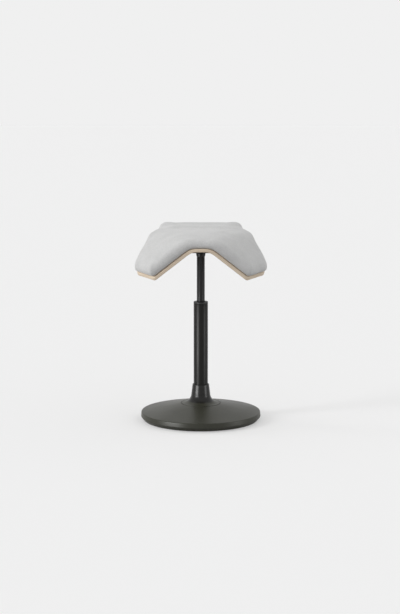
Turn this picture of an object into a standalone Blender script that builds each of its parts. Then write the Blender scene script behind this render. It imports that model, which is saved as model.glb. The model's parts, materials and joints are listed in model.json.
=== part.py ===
"""Saddle stool: a folded plywood seat with a padded cover, on a gas column and a weighted round base."""

import math

import bmesh
import bpy
from mathutils import Matrix, Vector

# All sizes are in metres and all angles in radians. The floor is at zero height and the front is at -Y.

GAP = 0.0003  # clearance between pieces that seat on one another
WELD = 0.00001  # points nearer than this become one
EDGE_BREAK = 0.0010  # small chamfer on turned edges
PAST = 0.0100  # how far a cutter runs past what it cuts
FAR = 0.3000  # depth of a cutter that takes a whole side away

# Weighted base
BASE_RADIUS = 0.2112
RIM_HEIGHT = 0.0312  # floor to the upper edge of the rim
RIM_WALL = 0.0160  # height of the upright part of the rim
RIM_ROUND = 0.0025
BEVEL_INSET = 0.0105  # how far the rim steps in towards the floor
SHELL_LIFT = 0.0030  # floor to the lower edge of the moulded cover
SHELL_WALL = 0.0025
CONE_RISE = 0.0300  # rim to hub flange
PLATE_THICKNESS = 0.0100
PLATE_HOLE_RADIUS = 0.0200
FOOT_THICKNESS = 0.0047
FOOT_WIDTH = 0.0380
FOOT_MARGIN = 0.0127  # lower edge of the cover to the edge of the foot ring

# Hub that carries the column
FLANGE_RADIUS = 0.0680
FLANGE_THICKNESS = 0.0030
FLANGE_SEAM = 0.0006  # open seam between the flange and the cover
HUB_HEIGHT = 0.0674  # flange to top
HUB_RIM = 0.0039  # wall round the tube at the top
HUB_TAPER = 0.0042  # growth of the radius down to the flare
HUB_FLARE = 0.0330  # height of the flare
SPIGOT_WALL = 0.0130  # wall round the tube below the flange
BOLT_COUNT = 4
BOLT_RADIUS = 0.0030
BOLT_HEAD_RADIUS = 0.0050
BOLT_HEAD_HEIGHT = 0.0050
BOLT_REACH = 0.0180  # thread inside the hub

# Column
TUBE_RADIUS = 0.0250
TUBE_WALL = 0.0020
TUBE_ABOVE_HUB = 0.2885
TUBE_TAPER = 0.0012  # the tube's foot is this much thinner in radius
TUBE_LIFT = 0.0070  # the tube's foot stands this far above the base plate
TUBE_FLOOR = 0.0030
BUSH_COLLAR = 0.0050
BUSH_LENGTH = 0.0800
STROKE = 0.1500
LOW_CLEARANCE = 0.0100  # left between bush and seat socket at the lowest seat
CYLINDER_RADIUS = 0.0140
CYLINDER_WALL = 0.0018
CYLINDER_TAPER = 0.0007  # loss of radius at the top of the taper
CYLINDER_LIP = 0.0020
CYLINDER_PROUD = 0.0030  # cylinder top above the seat plate's floor
LIP_OPENING_RADIUS = 0.0085
ROD_RADIUS = 0.0050
ROD_NECK_RADIUS = 0.0040
ROD_COLLAR_RADIUS = 0.0090
ROD_COLLAR_HEIGHT = 0.0060
ROD_HEAD_RADIUS = 0.0065
ROD_HEAD_HEIGHT = 0.0025
ROD_TAIL = 0.0050  # rod below its clip
GUIDE_LENGTH = 0.0220
PISTON_LENGTH = 0.0120
SEAL_GROOVE_DEPTH = 0.0022
SEAL_RADIUS = 0.00095
VALVE_LENGTH = 0.0450
VALVE_PIN_RADIUS = 0.0027
VALVE_PIN_PROUD = 0.0040
VALVE_DOME = 0.0014  # height of the pin's rounded tip
VALVE_HEAD_RADIUS = 0.0045
VALVE_HEAD_HEIGHT = 0.0030
BUMPER_LENGTH = 0.0250
BUMPER_RADIUS = 0.0140
BUMPER_WAIST = 0.0020  # loss of radius at the middle
BUMPER_EDGE = 0.0040
BUMPER_REST = 0.0010  # left above the bumper at the lowest seat
RACE_RADIUS = 0.0185
RACE_THICKNESS = 0.0025
BALL_COUNT = 6
BALL_RADIUS = 0.0025
BALL_CIRCLE_RADIUS = 0.0140
CAGE_WIDTH = 0.0080
CAGE_THICKNESS = 0.0020
WASHER_RADIUS = 0.0120
WASHER_THICKNESS = 0.0015
CLIP_RADIUS = 0.0085
CLIP_THICKNESS = 0.0010
CLIP_MOUTH = 0.0070

# Seat plate, socket and lever
SOCKET_DROP = 0.0125  # socket below the seat plate
SOCKET_RISE = 0.0022  # socket above the seat plate's floor
SOCKET_WALL = 0.0028
SOCKET_LIP = 0.0013  # wall at the socket's foot
SOCKET_NECK = 0.0020  # straight stretch below the seat plate
PAN_SHEET = 0.0025
PAN_HALF_LENGTH = 0.0600
PAN_CHANNEL = 0.0480  # outer width of the channel
PAN_FLANGE = 0.0260  # width of each flange
PAN_BEND = 0.0040
PAN_EDGE = 0.0005
SCREW_X = 0.0450
SCREW_EDGE = 0.0130  # screw line to flange edge
SCREW_RADIUS = 0.0024
SCREW_HEAD_RADIUS = 0.0046
SCREW_HEAD_HEIGHT = 0.0030
NUT_BARREL_RADIUS = 0.0040
NUT_FLANGE_RADIUS = 0.0090
NUT_FLANGE_THICKNESS = 0.0015
NUT_SETBACK = 0.0010  # barrel end above the underside of the plywood
PIVOT_DISTANCE = 0.0400  # column axis to lever pivot
PIVOT_RADIUS = 0.0025
PIVOT_HEAD_RADIUS = 0.0034
PIVOT_HEAD_HEIGHT = 0.0018
SLEEVE_RADIUS = 0.0054
LEVER_RADIUS = 0.0035
LEVER_OVERLAP = 0.0060  # lever past the column axis
LEVER_ROOM = 0.0015  # left between the lever's sleeve and the plywood
LEVER_RUN = 0.0420  # pivot to bend
LEVER_TAIL = 0.1220  # bend to tip
LEVER_DROP = math.radians(42.0)
LEVER_BEND_RADIUS = 0.0200
GRIP_LENGTH = 0.0620
GRIP_WIDTH = 0.0260
GRIP_THICKNESS = 0.0110
GRIP_ROUND = 0.0040
GRIP_TIP = 0.0060  # grip beyond the end of the rod

# Plywood seat
PLY_THICKNESS = 0.0112
EDGE_LEAN = 0.5  # cut edges stand between upright, 0, and square to the sheet, 1
SEAT_FRONT = 0.1650  # column axis to front edge
SEAT_REAR = 0.1900
CROWN_HALF_WIDTH = 0.0310  # half the flat between the bends at the front edge
FOLD_SPREAD = math.radians(33.0)  # each bend runs outwards towards the rear
FOLD_ANGLE = math.radians(45.0)  # how far each wing is folded down
BEND_RADIUS = 0.0380
CANTLE_LIFT = 0.0287  # rise of the rear edge
CANTLE_LENGTH = 0.1350
FRONT_CORNER = (0.1600, -0.1505)
FRONT_CORNER_RADIUS = 0.0120
SIDE_CORNER = (0.2260, -0.0400)
SIDE_CORNER_RADIUS = 0.0340
SHOULDER = (0.1670, 0.1040)
SHOULDER_RADIUS = 0.1000
REAR_CORNER_HALF_WIDTH = 0.1460
REAR_CORNER_RADIUS = 0.0360
NOSE_RADIUS = 0.3500

# Padding
BOARD_THICKNESS = 0.0040
BOARD_INSET = 0.0090
COVER_THICKNESS = 0.0025
PAD_TUCK = 0.0030  # how far the lower edge is drawn in
PAD_SIDE = 0.0090  # height of the widest line of the side
PAD_NOSE = 0.0250  # height where the rounded edge ends, at the front
PAD_REAR = 0.0370  # the same at the rear
PAD_WING_THINNING = 0.15  # share of the height lost on the wings
PAD_ROUND = 0.0200  # width of the rounded edge
PAD_CROWN = 0.0060
PAD_ALLOWANCE = 0.0040  # cut off where the pad meets the plywood
PAD_SCREW_RADIUS = 0.0020
PAD_SCREW_HEAD_RADIUS = 0.0040
PAD_SCREW_HEAD_HEIGHT = 0.0024
PAD_SCREWS = ((0.085, 0.030), (0.022, -0.110))  # places on the right half

# Resolution
BASE_STEPS = 60
HUB_STEPS = 36
TUBE_STEPS = 32
PART_STEPS = 20
SMALL_STEPS = 10
CORNER_STEPS = 4
BEND_STEPS = 6
SHEET_ROWS = 10
SHEET_MARGIN = 0.0120  # grid past the front and rear edges before it is cut
SHEET_WING = 0.0900  # the same at the sides
LONGEST_EDGE = 0.034  # outline stretches are divided to this

# Sizes and heights that follow from the ones above
PLATE_BOTTOM = FOOT_THICKNESS + GAP
PLATE_TOP = PLATE_BOTTOM + PLATE_THICKNESS
BEVEL_HEIGHT = RIM_HEIGHT - RIM_WALL - SHELL_LIFT
FLANGE_TOP = RIM_HEIGHT + CONE_RISE
HUB_TOP = FLANGE_TOP + HUB_HEIGHT
TUBE_BOTTOM = PLATE_TOP + TUBE_LIFT
TUBE_TOP = HUB_TOP + TUBE_ABOVE_HUB
TUBE_INNER_RADIUS = TUBE_RADIUS - TUBE_WALL
HUB_TOP_RADIUS = TUBE_RADIUS + HUB_RIM
SPIGOT_RADIUS = TUBE_RADIUS + SPIGOT_WALL
BOLT_CIRCLE_RADIUS = TUBE_RADIUS + SPIGOT_WALL / 2
SOCKET_RADIUS = CYLINDER_RADIUS + SOCKET_WALL
SOCKET_FOOT_RADIUS = CYLINDER_RADIUS + SOCKET_LIP
BUSH_TOP = TUBE_TOP + GAP + BUSH_COLLAR
SOCKET_BOTTOM = BUSH_TOP + LOW_CLEARANCE + STROKE
PAN_BOTTOM = SOCKET_BOTTOM + SOCKET_DROP
PAN_FLOOR = PAN_BOTTOM + PAN_SHEET
CYLINDER_TOP = PAN_FLOOR + CYLINDER_PROUD
LEVER_HEIGHT = CYLINDER_TOP + VALVE_PIN_PROUD + GAP + LEVER_RADIUS
PAN_TOP = LEVER_HEIGHT + SLEEVE_RADIUS + LEVER_ROOM
PAN_DEPTH = PAN_TOP - PAN_BOTTOM
PLY_BOTTOM = PAN_TOP + GAP
PLY_TOP = PLY_BOTTOM + PLY_THICKNESS
CYLINDER_INNER_RADIUS = CYLINDER_RADIUS - CYLINDER_WALL
CORE_RADIUS = CYLINDER_INNER_RADIUS - GAP
VALVE_TOP = CYLINDER_TOP - CYLINDER_LIP - GAP
VALVE_BOTTOM = VALVE_TOP - VALVE_LENGTH
LOWER_RACE_BOTTOM = TUBE_BOTTOM + TUBE_FLOOR + GAP
BALL_BOTTOM = LOWER_RACE_BOTTOM + RACE_THICKNESS + GAP
BALL_HEIGHT = BALL_BOTTOM + BALL_RADIUS
UPPER_RACE_BOTTOM = BALL_BOTTOM + 2 * BALL_RADIUS + GAP
ROD_COLLAR_BOTTOM = UPPER_RACE_BOTTOM + RACE_THICKNESS + GAP
BUMPER_BOTTOM = ROD_COLLAR_BOTTOM + ROD_COLLAR_HEIGHT + GAP
CYLINDER_BOTTOM = BUMPER_BOTTOM + BUMPER_LENGTH + BUMPER_REST + STROKE
GUIDE_BOTTOM = CYLINDER_BOTTOM + CYLINDER_LIP + GAP
PISTON_BOTTOM = GUIDE_BOTTOM + GUIDE_LENGTH + 2 * GAP
WASHER_TOP = TUBE_BOTTOM - GAP
CLIP_TOP = WASHER_TOP - WASHER_THICKNESS - GAP
ROD_BOTTOM = CLIP_TOP - CLIP_THICKNESS - ROD_TAIL
ROD_BORE_RADIUS = ROD_RADIUS + GAP
BEND_HALF_WIDTH = BEND_RADIUS * math.tan(FOLD_ANGLE / 2)
SHEET_SHIFT = GAP / math.cos(FOLD_ANGLE)  # lifts a folded sheet clear by the gap
BOARD_SHIFT = SHEET_SHIFT + BOARD_THICKNESS / math.cos(FOLD_ANGLE) + SHEET_SHIFT

COLOURS = {
    "grey_felt": ((0.52, 0.52, 0.51), 0.0, 0.95),
    "foam": ((0.78, 0.74, 0.58), 0.0, 0.90),
    "board": ((0.42, 0.30, 0.18), 0.0, 0.80),
    "pale_plywood": ((0.78, 0.64, 0.42), 0.0, 0.55),
    "black_steel": ((0.035, 0.034, 0.033), 0.3, 0.35),
    "black_cylinder": ((0.030, 0.030, 0.031), 0.3, 0.30),
    "hub_gloss": ((0.030, 0.030, 0.029), 0.2, 0.22),
    "base_powder": ((0.135, 0.135, 0.120), 0.0, 0.48),
    "iron": ((0.16, 0.15, 0.15), 0.8, 0.60),
    "zinc": ((0.62, 0.62, 0.60), 1.0, 0.35),
    "bright_steel": ((0.70, 0.70, 0.70), 1.0, 0.20),
    "black_plastic": ((0.025, 0.025, 0.026), 0.0, 0.50),
    "pale_plastic": ((0.80, 0.79, 0.74), 0.0, 0.45),
    "rubber": ((0.020, 0.020, 0.020), 0.0, 0.85),
}


def clear_scene():
    for obj in list(bpy.data.objects):
        bpy.data.objects.remove(obj, do_unlink=True)


def material(name):
    found = bpy.data.materials.get(name)
    if found:
        return found
    colour, metallic, roughness = COLOURS[name]
    made = bpy.data.materials.new(name)
    made.use_nodes = True
    shader = made.node_tree.nodes["Principled BSDF"]
    shader.inputs["Base Color"].default_value = (*colour, 1.0)
    shader.inputs["Metallic"].default_value = metallic
    shader.inputs["Roughness"].default_value = roughness
    made.diffuse_color = (*colour, 1.0)
    return made


def collection(name):
    found = bpy.data.collections.get(name)
    if not found:
        found = bpy.data.collections.new(name)
        bpy.context.scene.collection.children.link(found)
    return found


def shaded(mesh):
    """Smooth shading on round faces, with the real edges kept sharp."""
    mesh.shade_smooth()
    mesh.set_sharp_from_angle(angle=math.radians(35))
    return mesh


def tidy(mesh):
    bm = bmesh.new()
    bm.from_mesh(mesh)
    bmesh.ops.remove_doubles(bm, verts=bm.verts, dist=WELD)
    bm.to_mesh(mesh)
    bm.free()
    return shaded(mesh)


def as_mesh(obj):
    """The finished mesh of a curve or of an object with modifiers. The object itself is removed."""
    scene = bpy.context.scene.collection
    scene.objects.link(obj)
    graph = bpy.context.evaluated_depsgraph_get()
    mesh = bpy.data.meshes.new_from_object(obj.evaluated_get(graph))
    bpy.data.objects.remove(obj, do_unlink=True)
    return tidy(mesh)


def turned(profile, steps):
    """A mesh turned about Z. The profile holds (radius, height) and runs down its outer side."""
    mesh = bpy.data.meshes.new("profile")
    points = [(radius, 0.0, height) for radius, height in profile]
    edges = [(i, i + 1) for i in range(len(points) - 1)]
    if profile[0][0] > 0:
        edges.append((len(points) - 1, 0))
    mesh.from_pydata(points, edges, [])
    obj = bpy.data.objects.new("profile", mesh)
    screw = obj.modifiers.new("Turn", "SCREW")
    screw.axis = "Z"
    screw.steps = steps
    screw.render_steps = steps
    screw.use_merge_vertices = True
    screw.merge_threshold = WELD
    return as_mesh(obj)


def ring(inner, outer, bottom, top, steps):
    return turned([(outer, top), (outer, bottom), (inner, bottom), (inner, top)], steps)


def rod(radius, bottom, top, steps):
    return turned([(0.0, top), (radius, top), (radius, bottom), (0.0, bottom)], steps)


def copies(mesh, places):
    """One mesh that holds a copy of this one at each place, for use as a cutter."""
    bm = bmesh.new()
    for place in places:
        before = len(bm.verts)
        bm.from_mesh(mesh)
        bm.verts.ensure_lookup_table()
        bmesh.ops.translate(bm, verts=bm.verts[before:], vec=Vector(place))
    made = bpy.data.meshes.new("copies")
    bm.to_mesh(made)
    bm.free()
    return made


def around(count, radius, height, start=0.0):
    """Places evenly spaced on a circle about the column axis."""
    places = []
    for i in range(count):
        angle = start + 2 * math.pi * i / count
        places.append((radius * math.cos(angle), radius * math.sin(angle), height))
    return places


def rounded_corner(before, corner, after, radius, steps):
    """Points of the arc that rounds a corner between two straight stretches."""
    corner = Vector(corner)
    to_before = (Vector(before) - corner).normalized()
    to_after = (Vector(after) - corner).normalized()
    half = to_before.angle(to_after) / 2
    centre = corner + (to_before + to_after).normalized() * (radius / math.sin(half))
    start = corner + to_before * (radius / math.tan(half)) - centre
    turn = start.angle_signed(corner + to_after * (radius / math.tan(half)) - centre)
    points = []
    for i in range(steps + 1):
        arm = start.copy()
        arm.rotate(Matrix.Rotation(-turn * i / steps, 2))
        points.append(tuple(centre + arm))
    return points


def rounded_outline(corners):
    """A closed outline from (x, y, radius) corners, with each corner made an arc."""
    points = []
    for i, (x, y, radius) in enumerate(corners):
        before = corners[i - 1][:2]
        after = corners[(i + 1) % len(corners)][:2]
        points += rounded_corner(before, (x, y), after, radius, CORNER_STEPS)
    return points


def divided(points, longest):
    """A closed outline whose long stretches are divided evenly."""
    result = []
    for i, point in enumerate(points):
        start = Vector(point)
        end = Vector(points[(i + 1) % len(points)])
        pieces = max(1, math.ceil((end - start).length / longest))
        for k in range(pieces):
            result.append(tuple(start.lerp(end, k / pieces)))
    return result


def prism(points, bottom, top):
    """A flat outline raised to a solid between two heights."""
    curve = bpy.data.curves.new("outline", "CURVE")
    curve.dimensions = "2D"
    curve.fill_mode = "BOTH"
    curve.extrude = (top - bottom) / 2
    spline = curve.splines.new("POLY")
    spline.points.add(len(points) - 1)
    for point, (x, y) in zip(spline.points, points):
        point.co = (x, y, 0.0, 1.0)
    spline.use_cyclic_u = True
    mesh = as_mesh(bpy.data.objects.new("outline", curve))
    mesh.transform(Matrix.Translation((0.0, 0.0, (top + bottom) / 2)))
    return mesh


def piece(name, mesh, look, parent, location=(0.0, 0.0, 0.0), rotation=(0.0, 0.0, 0.0)):
    obj = bpy.data.objects.new(name, mesh)
    collection("saddle_stool").objects.link(obj)
    if not mesh.materials:
        mesh.materials.append(material(look))
    obj.parent = parent
    obj.location = location
    obj.rotation_euler = rotation
    return obj


def helper(name, mesh, parent=None, location=(0.0, 0.0, 0.0), rotation=(0.0, 0.0, 0.0)):
    obj = bpy.data.objects.new(name, mesh)
    collection("cutters").objects.link(obj)
    obj.display_type = "WIRE"
    obj.hide_render = True
    obj.parent = parent
    obj.location = location
    obj.rotation_euler = rotation
    return obj


def combine(obj, other, operation):
    boolean = obj.modifiers.new(operation.title() + " " + other.name, "BOOLEAN")
    boolean.operation = operation
    boolean.solver = "EXACT"
    boolean.object = other


def empty(name, parent, location):
    obj = bpy.data.objects.new(name, None)
    collection("saddle_stool").objects.link(obj)
    obj.empty_display_size = 0.05
    obj.parent = parent
    obj.location = location
    return obj


# Weighted base


def cone_height(radius):
    """Height of the cover's top face at this radius."""
    return RIM_HEIGHT + CONE_RISE * (BASE_RADIUS - radius) / (BASE_RADIUS - FLANGE_RADIUS)


def cover_inner_radius(height):
    """Inner radius of the moulded cover near the floor."""
    slant = math.hypot(BEVEL_INSET, BEVEL_HEIGHT) / BEVEL_HEIGHT
    bevel = BASE_RADIUS - BEVEL_INSET + (height - SHELL_LIFT) * BEVEL_INSET / BEVEL_HEIGHT
    return min(bevel - SHELL_WALL * slant, BASE_RADIUS - SHELL_WALL)


def build_base_cover(parent):
    slope = math.atan(CONE_RISE / (BASE_RADIUS - FLANGE_RADIUS))
    seam = FLANGE_RADIUS + FLANGE_SEAM
    seat = FLANGE_TOP - FLANGE_THICKNESS - GAP
    hole = SPIGOT_RADIUS + GAP
    wall_bottom = SHELL_LIFT + BEVEL_HEIGHT
    sag = SHELL_WALL / math.cos(slope)
    profile = [(hole, seat), (seam, seat), (seam, cone_height(seam))]
    edge = (BASE_RADIUS - RIM_ROUND * 2, cone_height(BASE_RADIUS - RIM_ROUND * 2))
    profile += [edge]
    for i in range(1, 3):
        turn = slope + (math.pi / 2 - slope) * i / 3
        inset = RIM_ROUND * (1 - math.sin(turn))
        profile.append((BASE_RADIUS - inset, RIM_HEIGHT - RIM_ROUND * (1 - math.cos(turn))))
    profile += [(BASE_RADIUS, RIM_HEIGHT - RIM_ROUND), (BASE_RADIUS, wall_bottom)]
    profile += [(BASE_RADIUS - BEVEL_INSET, SHELL_LIFT), (cover_inner_radius(SHELL_LIFT), SHELL_LIFT)]
    profile += [(BASE_RADIUS - SHELL_WALL, wall_bottom + SHELL_WALL * 0.4)]
    profile += [(BASE_RADIUS - SHELL_WALL, cone_height(BASE_RADIUS - SHELL_WALL) - sag - RIM_ROUND * 0.4)]
    profile += [(edge[0] - SHELL_WALL, cone_height(edge[0] - SHELL_WALL) - sag)]
    profile += [(seam + SHELL_WALL, cone_height(seam + SHELL_WALL) - sag)]
    profile += [(seam + SHELL_WALL, seat - SHELL_WALL), (hole, seat - SHELL_WALL)]
    return piece("base_cover", turned(profile, BASE_STEPS), "base_powder", parent)


def build_base_weight(parent):
    slant = math.hypot(BEVEL_INSET, BEVEL_HEIGHT) / BEVEL_HEIGHT
    top = cover_inner_radius(PLATE_TOP) - GAP * slant
    bottom = cover_inner_radius(PLATE_BOTTOM) - GAP * slant
    profile = [(PLATE_HOLE_RADIUS, PLATE_TOP), (top, PLATE_TOP)]
    profile += [(bottom, PLATE_BOTTOM), (PLATE_HOLE_RADIUS, PLATE_BOTTOM)]
    plate = piece("base_weight", turned(profile, BASE_STEPS), "iron", parent)
    sink = PLATE_BOTTOM + BOLT_HEAD_HEIGHT + 2 * GAP
    clear = BOLT_RADIUS + GAP
    well = BOLT_HEAD_RADIUS + 2 * GAP
    hole = [(0.0, PLATE_TOP + PAST), (clear, PLATE_TOP + PAST), (clear, sink), (well, sink)]
    hole += [(well, PLATE_BOTTOM - PAST), (0.0, PLATE_BOTTOM - PAST)]
    places = around(BOLT_COUNT, BOLT_CIRCLE_RADIUS, 0.0, math.pi / 4)
    combine(plate, helper("bolt_wells", copies(turned(hole, SMALL_STEPS), places)), "DIFFERENCE")
    return plate


def build_foot_ring(parent):
    outer = BASE_RADIUS - BEVEL_INSET - FOOT_MARGIN
    profile = [(outer, FOOT_THICKNESS), (outer, EDGE_BREAK), (outer - EDGE_BREAK, 0.0)]
    profile += [(outer - FOOT_WIDTH, 0.0), (outer - FOOT_WIDTH, FOOT_THICKNESS)]
    return piece("foot_ring", turned(profile, BASE_STEPS), "rubber", parent)


def tube_radius(height):
    """Outer radius of the column tube: tapered inside the hub and straight above it."""
    share = (HUB_TOP - height) / (HUB_TOP - TUBE_BOTTOM)
    return TUBE_RADIUS - TUBE_TAPER * max(0.0, min(1.0, share))


def build_hub(parent):
    flare_top = FLANGE_TOP + HUB_FLARE
    flare_radius = HUB_TOP_RADIUS + HUB_TAPER
    profile = [(HUB_TOP_RADIUS - EDGE_BREAK, HUB_TOP), (HUB_TOP_RADIUS, HUB_TOP - EDGE_BREAK)]
    for i in range(6):
        turn = math.radians(90) * i / 6
        out = flare_radius + (FLANGE_RADIUS - flare_radius) * (1 - math.cos(turn))
        profile.append((out, flare_top - HUB_FLARE * math.sin(turn)))
    bottom = PLATE_TOP + GAP
    profile += [(FLANGE_RADIUS, FLANGE_TOP), (FLANGE_RADIUS, FLANGE_TOP - FLANGE_THICKNESS)]
    profile += [(SPIGOT_RADIUS, FLANGE_TOP - FLANGE_THICKNESS), (SPIGOT_RADIUS, bottom)]
    profile += [(tube_radius(bottom) + GAP, bottom), (tube_radius(TUBE_BOTTOM) + GAP, TUBE_BOTTOM)]
    profile += [(TUBE_RADIUS + GAP, HUB_TOP)]
    hub = piece("hub", turned(profile, HUB_STEPS), "hub_gloss", parent)
    hole = rod(BOLT_RADIUS + GAP, bottom - PAST, bottom + BOLT_REACH + EDGE_BREAK, SMALL_STEPS)
    places = around(BOLT_COUNT, BOLT_CIRCLE_RADIUS, 0.0, math.pi / 4)
    combine(hub, helper("bolt_bores", copies(hole, places)), "DIFFERENCE")
    return hub


def build_hub_bolts(parent):
    head = PLATE_BOTTOM + BOLT_HEAD_HEIGHT + GAP
    under = head - BOLT_HEAD_HEIGHT
    tip = PLATE_TOP + BOLT_REACH
    profile = [(0.0, tip), (BOLT_RADIUS, tip), (BOLT_RADIUS, head), (BOLT_HEAD_RADIUS, head)]
    profile += [(BOLT_HEAD_RADIUS, under), (0.0, under)]
    mesh = turned(profile, SMALL_STEPS)
    for i, place in enumerate(around(BOLT_COUNT, BOLT_CIRCLE_RADIUS, 0.0, math.pi / 4)):
        piece(f"hub_bolt_{i + 1}", mesh, "zinc", parent, place)


# Column


def build_tube(parent):
    foot = tube_radius(TUBE_BOTTOM)
    floor = TUBE_BOTTOM + TUBE_FLOOR
    hole = ROD_BORE_RADIUS + GAP
    profile = [(TUBE_RADIUS - EDGE_BREAK, TUBE_TOP), (TUBE_RADIUS, TUBE_TOP - EDGE_BREAK)]
    profile += [(TUBE_RADIUS, HUB_TOP)]
    profile += [(foot, TUBE_BOTTOM), (hole, TUBE_BOTTOM), (hole, floor), (foot - TUBE_WALL, floor)]
    profile += [(TUBE_INNER_RADIUS, HUB_TOP), (TUBE_INNER_RADIUS, TUBE_TOP)]
    return piece("column_tube", turned(profile, TUBE_STEPS), "black_steel", parent)


def build_bush(parent):
    bore = CYLINDER_RADIUS + GAP
    fit = TUBE_INNER_RADIUS - GAP
    shelf = TUBE_TOP + GAP
    foot = shelf - BUSH_LENGTH
    profile = [(bore, BUSH_TOP - EDGE_BREAK), (bore + EDGE_BREAK, BUSH_TOP)]
    profile += [(TUBE_RADIUS - EDGE_BREAK, BUSH_TOP), (TUBE_RADIUS, BUSH_TOP - EDGE_BREAK)]
    profile += [(TUBE_RADIUS, shelf), (fit, shelf)]
    profile += [(fit, foot), (bore, foot)]
    return piece("guide_bush", turned(profile, TUBE_STEPS), "black_plastic", parent)


def build_bearing(base, swivel):
    outer = BALL_CIRCLE_RADIUS + CAGE_WIDTH / 2
    inner = BALL_CIRCLE_RADIUS - CAGE_WIDTH / 2
    top = LOWER_RACE_BOTTOM + RACE_THICKNESS
    low = ring(ROD_BORE_RADIUS + GAP, RACE_RADIUS, LOWER_RACE_BOTTOM, top, PART_STEPS)
    top = UPPER_RACE_BOTTOM + RACE_THICKNESS
    high = ring(ROD_BORE_RADIUS, RACE_RADIUS, UPPER_RACE_BOTTOM, top, PART_STEPS)
    piece("bearing_lower_race", low, "bright_steel", base)
    piece("bearing_upper_race", high, "bright_steel", swivel)
    half = CAGE_THICKNESS / 2
    mesh = ring(inner, outer, BALL_HEIGHT - half, BALL_HEIGHT + half, PART_STEPS)
    cage = piece("bearing_cage", mesh, "pale_plastic", swivel)
    pocket = rod(BALL_RADIUS + GAP, BALL_HEIGHT - PAST, BALL_HEIGHT + PAST, SMALL_STEPS)
    places = around(BALL_COUNT, BALL_CIRCLE_RADIUS, 0.0)
    combine(cage, helper("ball_pockets", copies(pocket, places)), "DIFFERENCE")
    bm = bmesh.new()
    bmesh.ops.create_uvsphere(bm, u_segments=8, v_segments=6, radius=BALL_RADIUS)
    mesh = bpy.data.meshes.new("ball")
    bm.to_mesh(mesh)
    bm.free()
    for i, place in enumerate(around(BALL_COUNT, BALL_CIRCLE_RADIUS, BALL_HEIGHT)):
        piece(f"bearing_ball_{i + 1}", shaded(mesh), "bright_steel", swivel, place)


def build_rod(parent):
    neck = PISTON_BOTTOM - GAP
    head = PISTON_BOTTOM + PISTON_LENGTH + GAP
    collar = ROD_COLLAR_BOTTOM + ROD_COLLAR_HEIGHT
    groove_top = CLIP_TOP + GAP
    groove_bottom = CLIP_TOP - CLIP_THICKNESS - GAP
    profile = [(0.0, head + ROD_HEAD_HEIGHT), (ROD_HEAD_RADIUS, head + ROD_HEAD_HEIGHT)]
    profile += [(ROD_HEAD_RADIUS, head), (ROD_NECK_RADIUS, head), (ROD_NECK_RADIUS, neck), (ROD_RADIUS, neck)]
    profile += [(ROD_RADIUS, collar), (ROD_COLLAR_RADIUS, collar), (ROD_COLLAR_RADIUS, ROD_COLLAR_BOTTOM)]
    profile += [(ROD_RADIUS, ROD_COLLAR_BOTTOM), (ROD_RADIUS, groove_top), (ROD_NECK_RADIUS, groove_top)]
    profile += [(ROD_NECK_RADIUS, groove_bottom), (ROD_RADIUS, groove_bottom)]
    profile += [(ROD_RADIUS, ROD_BOTTOM), (0.0, ROD_BOTTOM)]
    return piece("piston_rod", turned(profile, SMALL_STEPS), "bright_steel", parent)


def build_piston(parent):
    top = PISTON_BOTTOM + PISTON_LENGTH
    middle = PISTON_BOTTOM + PISTON_LENGTH / 2
    floor = CORE_RADIUS - SEAL_GROOVE_DEPTH
    reach = SEAL_RADIUS + GAP
    bore = ROD_NECK_RADIUS + GAP
    profile = [(CORE_RADIUS, top), (CORE_RADIUS, middle + reach), (floor, middle + reach)]
    profile += [(floor, middle - reach), (CORE_RADIUS, middle - reach), (CORE_RADIUS, PISTON_BOTTOM)]
    profile += [(bore, PISTON_BOTTOM), (bore, top)]
    piece("piston", turned(profile, PART_STEPS), "zinc", parent)
    centre = floor + GAP + SEAL_RADIUS
    section = []
    for i in range(6):
        turn = math.radians(90 - 60 * i)
        section.append((centre + SEAL_RADIUS * math.cos(turn), middle + SEAL_RADIUS * math.sin(turn)))
    piece("piston_seal", turned(section, PART_STEPS), "rubber", parent)


def build_rod_fittings(parent):
    waist = BUMPER_RADIUS - BUMPER_WAIST
    top = BUMPER_BOTTOM + BUMPER_LENGTH
    profile = [(waist, top), (BUMPER_RADIUS, top - BUMPER_EDGE), (waist, top - BUMPER_LENGTH / 2)]
    profile += [(BUMPER_RADIUS, BUMPER_BOTTOM + BUMPER_EDGE), (BUMPER_RADIUS, BUMPER_BOTTOM)]
    profile += [(ROD_BORE_RADIUS, BUMPER_BOTTOM), (ROD_BORE_RADIUS, top)]
    piece("rod_bumper", turned(profile, PART_STEPS), "rubber", parent)
    bottom = WASHER_TOP - WASHER_THICKNESS
    piece("rod_washer", ring(ROD_BORE_RADIUS, WASHER_RADIUS, bottom, WASHER_TOP, SMALL_STEPS), "zinc", parent)
    bottom = CLIP_TOP - CLIP_THICKNESS
    mesh = ring(ROD_NECK_RADIUS + GAP, CLIP_RADIUS, bottom, CLIP_TOP, SMALL_STEPS)
    clip = piece("rod_clip", mesh, "bright_steel", parent)
    half = CLIP_MOUTH / 2
    reach = CLIP_RADIUS * 2
    mouth = prism([(0.0, -half), (reach, -half), (reach, half), (0.0, half)], bottom - PAST, CLIP_TOP + PAST)
    combine(clip, helper("clip_mouth", mouth), "DIFFERENCE")


def cylinder_radius(height):
    """Outer radius of the gas cylinder: straight, then tapered inside the socket."""
    share = (height - SOCKET_BOTTOM) / (CYLINDER_TOP - SOCKET_BOTTOM)
    return CYLINDER_RADIUS - CYLINDER_TAPER * max(0.0, min(1.0, share))


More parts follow.
